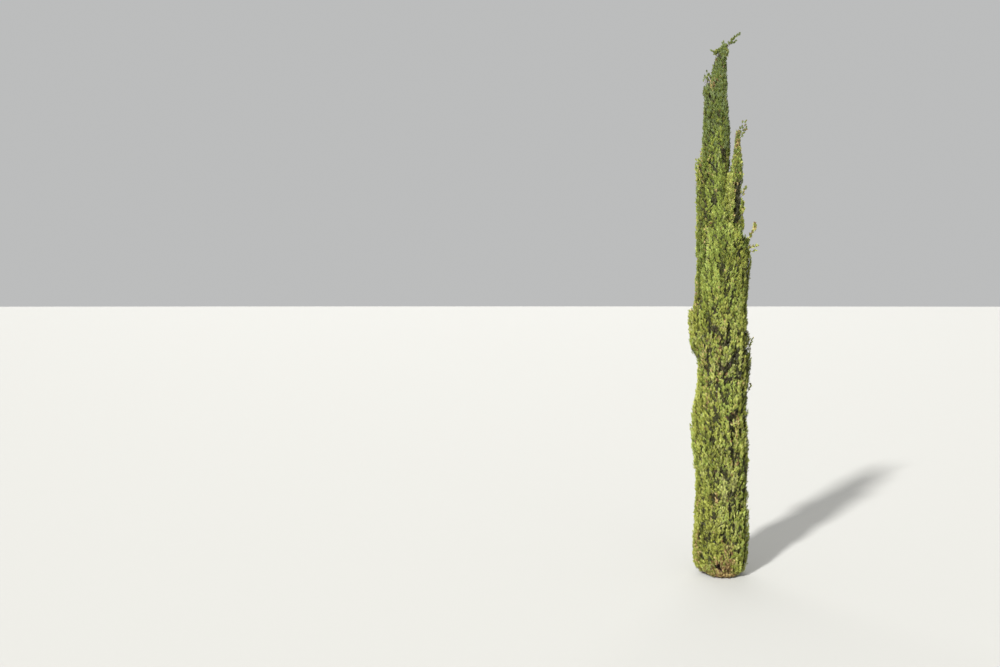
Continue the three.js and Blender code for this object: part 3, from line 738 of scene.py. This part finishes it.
def leaderTufts():
    count = leaderTuft["count"]
    low, high = leader["reach"][0][0], leader["reach"][-1][0]
    height = low + (high - low) * evenShares(count) ** leaderTuft["crowding"]
    angle = np.arange(count) * golden + leaderTuft["phase"]
    reach = along(leader["reach"], height) - rng.uniform(0, leaderTuft["drawnIn"], count)
    centre = leaderCentre(height)
    flat = np.stack([np.cos(angle), leader["depth"] * np.sin(angle)], -1)
    sink, dry, dark, cut = marksAt(np.column_stack([centre + reach[:, None] * flat, height]))
    reach = np.maximum(reach - sink, leaderTuft["least"])
    tip = np.column_stack([centre + reach[:, None] * flat, height])
    out = unit(outwards(angle, leaderTuft["lookUp"]))
    outward = rng.uniform(*leaderTuft["outward"], (count, 1)) * out
    ahead = unit(up + outward + rng.normal(0, leaderTuft["fan"], (count, 1)) * sideways(angle))
    # the marks add their tone, which is painted shade in the crease between the leaders
    shade = rng.normal(*leaderTuft["tone"], count) + dark
    length = rng.uniform(*tuft["length"], count) * leaderTuft["scale"]
    keep = ~beyondDivide(tip, -1) & (rng.random(count) > cut)
    return tuftGroup(
        keep, tip=tip, out=out, ahead=ahead, scale=leaderTuft["scale"], tone=shade,
        fresh=np.interp(height, *leaderTuft["fresh"]), sage=np.interp(height, *leaderTuft["sage"]),
        dry=dry + np.interp(height, *leaderTuft["dry"]), length=length, tongue=leaderHome,
    )


# Loose groups: small clumps, and twigs that stand out of the outline
clumps = [
    # middle, half sizes, tufts, tone, withered share, scale
    ((-0.19, 0.02, 12.585), (0.065, 0.05, 0.04), 26, -0.7, 0.02, 0.6),
    ((-0.1, 0.01, 12.62), (0.06, 0.05, 0.035), 14, -0.9, 0.02, 0.6),
    ((-0.005, 0.01, 12.68), (0.075, 0.07, 0.06), 36, -0.9, 0.02, 0.8),
    ((0.07, 0.01, 12.55), (0.035, 0.05, 0.04), 10, -0.3, 0.02, 1),
    ((0.15, -0.19, 9), (0.11, 0.06, 0.72), 170, 0.05, 0.02, 1),
    ((0.445, 0.03, 8.85), (0.045, 0.08, 0.2), 26, -0.3, 0.1, 1),
    ((0.45, 0.03, 8.5), (0.04, 0.08, 0.16), 18, -0.4, 0.05, 1),
    ((0.565, 0, 8.06), (0.05, 0.06, 0.055), 16, -0.9, 0.02, 0.65),
    ((0.655, 0.03, 8.2), (0.035, 0.03, 0.055), 7, -0.7, 0.1, 0.55),
    ((0.742, 0.05, 8.41), (0.045, 0.04, 0.09), 14, 0.4, 0.4, 1),
    ((0.33, 0, 10.6), (0.035, 0.04, 0.08), 9, 0, 0.5, 1),
]
clumpTuft = {
    "fill": 0.4, "length": (0.08, 0.12), "clear": 0.015, "flat": (1, 1, 0.3), "lift": (0, 0, 0.1),
    "outward": 0.45, "fan": 0.12, "scale": 0.8, "toneVary": 0.3, "fresh": 0.4, "sage": 0.15,
}
strays = [
    # root, bend if any and tip, tufts, tone, withered share
    ([(-0.42, 0.02, 9.75), (-0.64, 0.04, 10)], 3, 0, 0.12),
    ([(0.42, 0.03, 7.75), (0.58, 0.04, 8.08), (0.76, 0.06, 8.44)], 9, 0, 0.3),
    ([(0.44, -0.05, 7.7), (0.6, -0.08, 7.88), (0.775, -0.1, 7.92)], 7, 0.2, 0.12),
    ([(0.46, -0.05, 7.6), (0.6, -0.1, 7.76), (0.74, -0.14, 7.8)], 5, 0.2, 0.12),
    ([(0.5, 0.05, 5.5), (0.7, 0.07, 5.68)], 5, -1, 0.12),
    ([(0.52, 0, 4.35), (0.66, -0.02, 4.6)], 4, -0.6, 0.12),
    ([(-0.55, 0.08, 3.25), (-0.74, 0.12, 3.54)], 3, 0, 0.12),
    ([(-0.6, -0.1, 5.85), (-0.79, -0.12, 6.2)], 4, 0, 0.12),
    ([(0.34, -0.04, 9.03), (0.45, -0.05, 9.14), (0.51, -0.06, 9.3)], 6, -0.8, 0.12),
    ([(0.33, 0, 10.4), (0.42, 0, 10.56), (0.505, 0.03, 10.72)], 6, -1, 0.1),
    ([(0.33, 0, 10.5), (0.44, 0, 10.7), (0.515, 0.02, 10.9)], 5, -1, 0.1),
    ([(0.33, 0, 10.45), (0.37, -0.02, 10.65), (0.43, -0.03, 10.85)], 4, -1, 0.1),
    ([(-0.12, 0.02, 12.4), (-0.2, 0.02, 12.5), (-0.27, 0.02, 12.58)], 4, -0.9, 0),
    ([(0, 0.01, 12.55), (0.1, 0.01, 12.76), (0.2, 0, 12.87)], 7, -0.9, 0),
    ([(0.1, 0.01, 12.76), (0.2, 0, 12.87), (0.33, 0, 12.97)], 6, -0.9, 0),
    ([(0.05, 0, 12.65), (0.14, -0.01, 12.74), (0.21, -0.02, 12.78)], 4, -0.9, 0),
    ([(-0.03, 0, 12.6), (-0.02, 0, 12.7), (-0.02, 0, 12.78)], 3, -0.9, 0),
    ([(0.1, -0.6, 3.88), (0.24, -0.71, 3.74), (0.43, -0.63, 3.8)], 5, 0.8, 0.12),
]
strayTuft = {
    "rings": 7, "bend": (0.62, 0.62, 0.45), "bow": 0.02, "foot": 0.006, "tip": 0.002, "first": 0.4,
    "last": 0.94, "jitter": 0.04, "length": (0.04, 0.075), "inside": 0.9, "swing": 0.5, "scatter": 0.5,
    "toFront": (0, -0.5, 0.1), "scale": (0.38, 0.56), "toneVary": 0.3, "fresh": 0.5, "sage": 0.2,
}
bare = {
    "root": (-0.3, 0.02, 11.62), "rootVary": (0.05, 0.05, 0.06), "count": 17, "across": (-0.5, -0.3),
    "depth": (0.02, 0.06), "height": (11.8, 12.17), "middle": -0.4, "fall": 0.5, "bow": (-0.03, 0, 0.02),
    "foot": 0.004, "tip": 0.0016, "tufts": 1, "first": 0.8, "tone": -1.1, "dry": 0,
}


def clumpTufts(middle, halfSizes, count, shade, dry, scale):
    ball = unit(rng.normal(0, 1, (count, 3))) * rng.random((count, 1)) ** clumpTuft["fill"]
    tip = np.array(middle) + ball * halfSizes
    length = rng.uniform(*clumpTuft["length"], count) * scale
    tip[:, 2] = np.maximum(tip[:, 2], length + clumpTuft["clear"])
    out = unit(ball * clumpTuft["flat"] + clumpTuft["lift"])
    return tuftGroup(
        tip=tip, out=out,
        ahead=unit(up + clumpTuft["outward"] * out + rng.normal(0, clumpTuft["fan"], (count, 3))),
        scale=clumpTuft["scale"] * scale, tone=rng.normal(shade, clumpTuft["toneVary"], count),
        fresh=clumpTuft["fresh"], sage=clumpTuft["sage"], dry=dry, length=length, tongue=looseHome,
    )


def footTufts():
    count = foot["count"]
    angle = np.radians(rng.uniform(*foot["angle"], count))
    low, high = foot["height"]
    height = low + (high - low) * rng.random(count) ** foot["crowding"]
    x, z, wide, tall = foot["gap"]
    reach = columnReach(angle, height) * foot["reach"] * rng.uniform(*foot["reachVary"], count)
    reach *= np.interp(height, *foot["reachAt"])
    tip = place(angle, reach, height)
    apart = np.hypot((tip[:, 0] - x) / wide, (height - z) / tall)
    keep = (apart > 1) & (height < footAt(angle) + foot["above"])
    angle, tip = angle[keep], tip[keep]
    count = len(tip)
    length = footLength(tip, rng.uniform(*foot["length"], count))
    out = unit(outwards(angle))
    aside = (tip[:, 0] - x - foot["nearAside"]) / foot["nearWidth"]
    near = np.exp(-(aside**2 + (tip[:, 2] / foot["nearHeight"]) ** 4))
    return tuftGroup(
        length > foot["least"] / 2, tip=tip, out=out,
        ahead=unit(up + foot["outward"] * out + rng.normal(0, foot["scatter"], (count, 3))),
        scale=foot["scale"], tone=rng.normal(*foot["tone"], count), fresh=foot["fresh"], sage=foot["sage"],
        dry=foot["dry"] + foot["nearDry"] * near * rng.uniform(*foot["dryVary"], count),
        length=length, tongue=looseHome,
    )


def strayPath(points):
    # two points alone get a bend between them
    root, *bend, tip = np.array(points, float)
    if not bend:
        outward = unit((tip - root) * (1, 1, 0))
        bend = [root + (tip - root) * strayTuft["bend"] + outward * strayTuft["bow"]]
    return smoothPath([root, *bend, tip], strayTuft["rings"])


def barePath():
    tip = np.array([rng.uniform(*bare["across"]), rng.normal(*bare["depth"]), rng.uniform(*bare["height"])])
    tip[2] -= bare["fall"] * abs(tip[0] - bare["middle"])
    root = np.array(bare["root"]) + rng.normal(0, 1, 3) * bare["rootVary"]
    return smoothPath([root, (root + tip) / 2 + bare["bow"], tip], strayTuft["rings"])


def strayTufts(path, count, shade, dry, first=strayTuft["first"]):
    jitter = strayTuft["jitter"]
    t = np.linspace(first, strayTuft["last"], count) + rng.uniform(-jitter, jitter, count)
    at = np.linspace(0, 1, len(path))
    point = np.stack([np.interp(t, at, axis) for axis in path.T], -1)
    ahead = unit(np.stack([np.interp(t, at, axis) for axis in np.gradient(path, axis=0).T], -1))
    aside = unit(np.cross(ahead, (0.0, 1, 0)) + rng.normal(0, strayTuft["scatter"], (count, 3)))
    swing = np.where(np.arange(count) % 2, strayTuft["swing"], -strayTuft["swing"])[:, None]
    swing[-1] = 0
    length = rng.uniform(*strayTuft["length"], count)
    axis = unit(ahead + swing * aside)
    return tuftGroup(
        tip=point + axis * length[:, None] * strayTuft["inside"], ahead=axis,
        out=unit(ahead * (1, 1, 0) + strayTuft["toFront"]), scale=rng.uniform(*strayTuft["scale"], count),
        tone=rng.normal(shade, strayTuft["toneVary"], count), fresh=strayTuft["fresh"],
        sage=strayTuft["sage"], dry=dry, length=length, tongue=looseHome,
    )


strayPaths = [strayPath(points) for points, *_ in strays]
barePaths = [barePath() for _ in range(bare["count"])]
groups = [columnTufts(), leaderTufts(), footTufts()] + [clumpTufts(*clump) for clump in clumps]
groups += [strayTufts(path, *stray[1:]) for path, stray in zip(strayPaths, strays)]
groups += [strayTufts(path, bare["tufts"], bare["tone"], bare["dry"], bare["first"]) for path in barePaths]
tufts = {key: np.concatenate([group[key] for group in groups]) for key in groups[0]}
tuftCount = len(tufts["tip"])
tuftBase = tufts["tip"] - tufts["ahead"] * tufts["length"][:, None]
print("tufts:", tuftCount)

# Sprays of a tuft: some round its axis, and one at its end
spray = {
    "count": 6, "at": (0.12, 0.8), "endAt": 0.66, "atVary": 0.05, "open": (25, 12), "endOpen": 0.08,
    "openVary": 0.1, "length": 0.082, "shorten": (1.1, 0.3), "vary": (0.85, 1.15), "facingVary": 0.6,
    "facing": ([5.5, 7.5, 10.5], [0.36, 0.6, 0.9]), "edgeFacing": ([0.75, 1], [0, 2.2]),
}
leaf = {
    "along": (0.04, 0.2, 0.35, 0.5, 0.63, 0.76, 0.52), "turn": 26, "turnVary": 0.13, "faceVary": 0.28,
    "length": 0.054, "shorten": (1.08, 0.3), "vary": (0.85, 1.15), "scaling": 0.6, "width": 0.0125,
    "fold": 0.32, "widest": 0.42, "clear": 0.004,
}


def spraysOf():
    # start, direction, facing and length of every spray
    count, each = tuftCount, spray["count"]
    ahead, out = tufts["ahead"][:, None], tufts["out"][:, None]
    across = unit(np.cross(ahead, out))
    rise = np.cross(across, ahead)
    share = np.append(np.linspace(*spray["at"], each - 1), spray["endAt"])[None]
    share = share + rng.uniform(-spray["atVary"], spray["atVary"], (count, each))
    turn = (np.arange(each)[None] * golden + rng.uniform(0, 6.3, (count, 1)))[..., None]
    spread = np.append(np.linspace(*np.radians(spray["open"]), each - 1), spray["endOpen"])[None]
    spread = (spread + rng.normal(0, spray["openVary"], (count, each)))[..., None]
    radial = np.cos(turn) * across + np.sin(turn) * rise
    direction = unit(np.cos(spread) * ahead + np.sin(spread) * radial)
    start = tuftBase[:, None] + ahead * (tufts["length"][:, None] * share)[..., None]
    most, less = spray["shorten"]
    length = spray["length"] * (most - less * share) * rng.uniform(*spray["vary"], share.shape)
    length = length * tufts["scale"][:, None]
    facing = np.interp(tufts["tip"][:, 2], *spray["facing"])
    facing += np.interp(tufts["out"][:, 0], *spray["edgeFacing"])  # the shaded right edge
    facing = facing[:, None, None] * out + rng.normal(0, spray["facingVary"], (count, each, 3))
    return start, direction, unit(facing), length


def bladeCorners(root, ahead, across, size, half, middle):
    return np.stack([root, middle - across * half, root + ahead * size, middle + across * half], -2)


# Leaves of sprays: side leaves one after another on alternate sides, and one at the end
def leavesOf(start, direction, facing, length):
    count = len(start)
    face = unit(facing - direction * (facing * direction).sum(-1, keepdims=True))
    side = np.cross(direction, face)
    at = np.array(leaf["along"])
    each = len(at)
    turn = np.radians(leaf["turn"]) * np.array([1, -1] * each)[:each]
    turn[-1] = 0
    turn = turn[None] + rng.normal(0, leaf["turnVary"], (count, each))
    ahead = unit(np.cos(turn)[..., None] * direction[:, None] + np.sin(turn)[..., None] * side[:, None])
    normal = unit(face[:, None] + rng.normal(0, leaf["faceVary"], (count, each, 3)))
    across = unit(np.cross(ahead, normal))
    rise = np.cross(across, ahead)
    root = start[:, None] + direction[:, None] * (at[None] * length[:, None])[..., None]
    most, less = leaf["shorten"]
    size = leaf["length"] * (most - less * at)[None] * rng.uniform(*leaf["vary"], (count, each))
    size = (size * (length / spray["length"])[:, None] ** leaf["scaling"])[..., None]
    half = leaf["width"] / 2 * rng.uniform(*leaf["vary"], (count, each))[..., None]
    middle = root + ahead * size * leaf["widest"] + rise * half * leaf["fold"] * 2
    corners = bladeCorners(root, ahead, across, size, half, middle).reshape(-1, 4, 3)
    under = np.minimum(corners[:, :, 2].min(1) - leaf["clear"], 0)  # nothing reaches below the ground
    corners[:, :, 2] -= under[:, None]
    return corners


def leafFaces(count):
    first = np.arange(count)[:, None] * 4
    return np.concatenate([first + [0, 1, 2], first + [0, 2, 3]], 1).reshape(-1, 3)


# The colours of each kind of foliage; the first four are the steps from dark to pale
foliage = {
    "deep": (tone(102, 107, 34), tone(114, 119, 42)),
    "olive": (tone(138, 142, 54), tone(148, 152, 62)),
    "green": (tone(161, 165, 76), tone(170, 174, 84)),
    "bright": (tone(174, 178, 98), tone(183, 186, 108)),
    "dry": (tone(196, 176, 116), tone(174, 153, 97)),
    "brown": (tone(130, 96, 62), tone(108, 78, 50)),
    "moss": (tone(90, 104, 34), tone(104, 117, 42)),
    "fern": (tone(124, 137, 52), tone(134, 147, 60)),
    "fresh": (tone(148, 163, 76), tone(158, 171, 84)),
    "sage": (tone(154, 153, 96), tone(142, 143, 86)),
    "pine": (tone(105, 118, 68), tone(114, 128, 77)),
}
number = {name: k for k, name in enumerate(foliage)}
dealt = {
    "steps": (-0.62, -0.22, 0.3), "fresh": {"deep": "moss", "olive": "fern", "green": "fresh"},
    "rise": (-0.3, 0.2), "vary": 0.25, "tuftVary": 0.12, "dry": 0.012, "brownShare": 0.5,
    "calm": ([3, 5.5, 7, 8.5, 10.5], [0.86, 0.72, 0.34, 0.34, 0.38]), "pine": ([9.6, 11.6], [0, 0.5]),
    "speckle": (45, 2), "rough": 0.62, "mostTriangles": 190000,
}


def leafFinish(name, colour, other):
    finish = Finish("foliage" + name.title())
    where = finish.node("ShaderNodeTexCoord", output=3)
    speckle = finish.noise(where, *dealt["speckle"])
    return finish.wear(Base_Color=finish.mix(speckle, colour, other), Roughness=dealt["rough"])


def sprayKinds(shape):
    # which kind of foliage each spray has
    height = tufts["tip"][:, 2]
    rise = np.linspace(*dealt["rise"], shape[1])[None]  # the upper sprays of a tuft are paler and the lower ones darker
    unevenness = rng.normal(0, dealt["vary"], shape) + rng.normal(0, dealt["tuftVary"], (shape[0], 1))
    value = tufts["tone"][:, None] + (rise + unevenness) * np.interp(height, *dealt["calm"])[:, None]
    withered = rng.random(shape) < tufts["dry"][:, None] + dealt["dry"]
    kind = np.digitize(value, dealt["steps"])
    fresh = rng.random(shape) < tufts["fresh"][:, None]
    sage = rng.random(shape) < tufts["sage"][:, None]
    for plain, other in dealt["fresh"].items():
        kind = np.where(fresh & (kind == number[plain]), number[other], kind)
    kind = np.where(sage & (value > dealt["steps"][1]), number["sage"], kind)
    misty = rng.random(shape) < np.interp(height, *dealt["pine"])[:, None]
    kind = np.where(misty & (value < dealt["steps"][2]), number["pine"], kind)
    dead = np.where(rng.random(shape) < dealt["brownShare"], number["dry"], number["brown"])
    return np.where(withered, dead, kind).ravel()


sprays = spraysOf()
kind = sprayKinds(sprays[-1].shape)
sprays = [values.reshape(-1, *values.shape[2:]) for values in sprays]
plumeNodes = [f"plume_{i + 1:02d}" for i in range(plume["count"])]
plumeNodes += ["second_leader_plume", "leader_plume"]
leafTriangles = 0
for name, colours in foliage.items():
    mine = np.flatnonzero(kind == number[name])
    mine = mine[np.argsort(sprays[0][mine, 2])]
    material = leafFinish(name, *colours)
    pieces = max(1, math.ceil(len(mine) * len(leaf["along"]) * 2 / dealt["mostTriangles"]))
    for part, some in enumerate(np.array_split(mine, pieces)):
        corners = leavesOf(*(values[some] for values in sprays))
        replaced = plumeNodes if name == "green" and part == 0 else ()
        pieceName = f"foliage{name.title()}{part + 1}"
        newPiece(pieceName, corners.reshape(-1, 3), leafFaces(len(corners)), material, "foliage", replaced)
        leafTriangles += 2 * len(corners)
        print("foliage", name, part + 1, 2 * len(corners))
print("leaf triangles:", leafTriangles)

# Branches inside the column, one for each tongue, and a twig from them to each tuft

branch = {
    "foot": 0.011, "tip": 0.004, "sides": 5, "rings": 7, "below": 0.75, "fromTrunk": 0.1, "stemEnd": 0.05,
    "under": 0.15, "tipUnder": 0.12, "leastOut": 0.45, "middle": 0.3, "above": 0.34, "least": 0.1,
}
twig = {"foot": 0.0036, "base": 0.7, "tip": 0.0014, "below": 0.14, "into": 0.8, "loose": 0.01, "sides": 3}


def inside(reach, under):
    return max(reach - under, branch["leastOut"] * reach)


def branchLines():
    angle, height = tongues["angle"], tongues["height"]
    reach = columnReach(angle, height)
    owner, _ = cellAt(plumes, angle, height)
    lines = []
    for k in range(tongue["count"]):
        stem = boughPaths[owner[k]]
        low = height[k] - branch["below"]
        if height[k] > plume["top"] - branch["fromTrunk"]:
            root = np.array([*trunkCentre(low), low])
        else:
            low = np.clip(low, stem[0, 2], stem[-1, 2] - branch["stemEnd"])
            root = np.array([np.interp(low, stem[:, 2], axis) for axis in stem.T])
        level = max(height[k] - branch["middle"], root[2] + branch["least"])
        middle = place(angle[k], inside(reach[k], branch["under"]), level)
        top = max(height[k] + branch["above"], middle[2] + branch["least"])
        tip = place(angle[k], inside(columnReach(angle[k], top), branch["tipUnder"]), top)
        lines.append(smoothPath([root, middle, tip], branch["rings"]))
    return np.array(lines)


branchPaths = branchLines()
branchRadii = np.tile(np.linspace(branch["foot"], branch["tip"], branch["rings"]), (tongue["count"], 1))
branchTubes = tubes(branchPaths, branchRadii, branch["sides"], sideways(tongues["angle"]))
newPiece("branches", *branchTubes, barkMaterial, "bark", smooth=True)


def twigRoots():
    roots = np.empty_like(tuftBase)
    wanted = tuftBase[:, 2] - twig["below"]
    for k, line in enumerate(branchPaths):
        mine = tufts["tongue"] == k
        level = np.clip(wanted[mine], line[0, 2], line[-1, 2])
        roots[mine] = np.stack([np.interp(level, line[:, 2], axis) for axis in line.T], -1)
    mine = tufts["tongue"] == leaderHome
    roots[mine] = np.column_stack([leaderCentre(wanted[mine]), wanted[mine]])
    loose = tufts["tongue"] == looseHome
    roots[loose] = tuftBase[loose] - twig["loose"] * tufts["ahead"][loose]
    return roots


twigTips = tuftBase + tufts["ahead"] * tufts["length"][:, None] * twig["into"]
twigPaths = np.stack([twigRoots(), tuftBase, twigTips], 1)
twigRadii = np.tile([twig["foot"], twig["foot"] * twig["base"], twig["tip"]], (tuftCount, 1))
twigAside = unit(np.cross(tufts["ahead"], tufts["out"]))
newPiece("twigs", *tubes(twigPaths, twigRadii, twig["sides"], twigAside), barkMaterial, "bark")
loosePaths = np.array(strayPaths + barePaths)
looseSizes = [strayTuft] * len(strayPaths) + [bare] * len(barePaths)
looseEnds = ([size[end] for size in looseSizes] for end in ("foot", "tip"))
looseRadii = np.linspace(*looseEnds, strayTuft["rings"], axis=1)
looseAside = np.tile([0.0, 1, 0], (len(loosePaths), 1))
looseTubes = tubes(loosePaths, looseRadii, branch["sides"], looseAside)
newPiece("looseTwigs", *looseTubes, shootMaterial, "bark", smooth=True)
print("branches and twigs:", tuftCount)

# Sprays further in, that close the column and the second leader; their near-black colour is partly withered
# inner foliage and partly painted shade

inner = {
    "count": 19000, "height": (0.16, 12.72), "phase": 2.0, "jitter": 0.05, "footClear": 0.05,
    "depth": (0.07, 0.18), "thinner": ([11.6, 12.3], [1, 0.5]), "markShare": 0.6, "least": 0.25,
    "leaderCount": 900, "leaderHeight": (8.15, 2.4), "leaderOut": (0.25, 0.6),
    "length": 0.115, "vary": (0.8, 1.15), "width": 0.032, "inside": 0.9, "fold": 0.005,
    "outward": (0.1, 0.6), "fan": 0.5, "fanVary": 0.2, "faceVary": 0.4,
    # colours partly of withered foliage and partly painted shade for the dark inside
    "colours": (tone(40, 43, 10), tone(54, 52, 18)),
}


def innerTips():
    count = inner["count"]
    height = evenHeights(evenShares(count), *inner["height"])
    angle = np.arange(count) * golden + inner["phase"]
    angle = np.mod(angle + rng.normal(0, inner["jitter"], count), 2 * math.pi)
    keep = height > footAt(angle) + inner["footClear"]
    angle, height = angle[keep], height[keep]
    reach = columnReach(angle, height)
    depth = rng.uniform(*inner["depth"], len(reach)) * np.interp(height, *inner["thinner"])
    markSink = inner["markShare"] * marksAt(place(angle, reach, height))[0]
    tip = place(angle, np.maximum(reach - depth - markSink, reach * inner["least"]), height)
    keep = ~beyondDivide(tip, 1)
    tip, angle = tip[keep], angle[keep]
    # and the same round the second leader
    count = inner["leaderCount"]
    low, tall = inner["leaderHeight"]
    level = low + tall * evenShares(count)
    turn = np.arange(count) * golden
    near = along(leader["reach"], level) * rng.uniform(*inner["leaderOut"], count)
    more = np.column_stack([leaderCentre(level) + near[:, None] * outwards(turn)[:, :2], level])
    keep = ~beyondDivide(more, -1)
    return np.concatenate([tip, more[keep]]), np.concatenate([angle, turn[keep]])


innerTip, innerAngle = innerTips()
count = len(innerTip)
out, aside = outwards(innerAngle), sideways(innerAngle)
half = inner["width"] / 2
blades = []
for turn in (-1, 0, 1):
    outward = out * rng.uniform(*inner["outward"], (count, 1))
    ahead = unit(up + outward + aside * (turn * inner["fan"] + rng.normal(0, inner["fanVary"], (count, 1))))
    across = unit(np.cross(ahead, unit(out + rng.normal(0, inner["faceVary"], (count, 3)))))
    root = innerTip - ahead * inner["length"] * inner["inside"]
    size = inner["length"] * rng.uniform(*inner["vary"], (count, 1))
    middle = root + ahead * size / 2 + np.cross(across, ahead) * inner["fold"]
    blades.append(bladeCorners(root, ahead, across, size, half, middle))
blades = np.concatenate(blades)
innerShadeMaterial = leafFinish("inner", *inner["colours"])
newPiece("foliageInner", blades.reshape(-1, 3), leafFaces(len(blades)), innerShadeMaterial, "foliage")
print("inner leaves:", 2 * len(blades))

# Floor and light

studio = {
    "floor": tone(178, 177, 172), "floorRough": 0.9, "floorRadius": 2500, "floorSides": 96,
    "sky": tone(229, 230, 230), "skyStrength": 0.64,
    "lights": [
        {"name": "key", "strength": 6.1, "size": 4, "from": (-0.32, -0.85, 0.6)},
        {"name": "fill", "strength": 0.5, "size": 60, "from": (0.3, -1, 0.5)},
        {"name": "back", "strength": 1.6, "size": 60, "from": (-0.25, 1, 0.5)},
    ],
}
floorRing = studio["floorRadius"] * outwards(ringAngles(studio["floorSides"]))
floorMesh = bpy.data.meshes.new("floor")
floorMesh.from_pydata(floorRing.tolist(), [], [list(range(len(floorRing)))])
floor = added("floor", floorMesh)
floorFinish = Finish("floor")
floorMesh.materials.append(floorFinish.wear(Base_Color=studio["floor"], Roughness=studio["floorRough"]))

for light in studio["lights"]:
    lamp = added(light["name"], bpy.data.lights.new(light["name"], "SUN"))
    lamp.data.energy = light["strength"]
    lamp.data.angle = math.radians(light["size"])
    x, y, z = light["from"]
    lamp.rotation_euler = (math.atan2(math.hypot(x, y), z), 0, math.atan2(x, -y))

world = bpy.data.worlds.new("studio")
world.use_nodes = True
world.node_tree.nodes["Background"].inputs["Color"].default_value = studio["sky"]
world.node_tree.nodes["Background"].inputs["Strength"].default_value = studio["skyStrength"]
bpy.context.scene.world = world
bpy.context.scene.view_settings.view_transform = "Standard"
print("light ready")
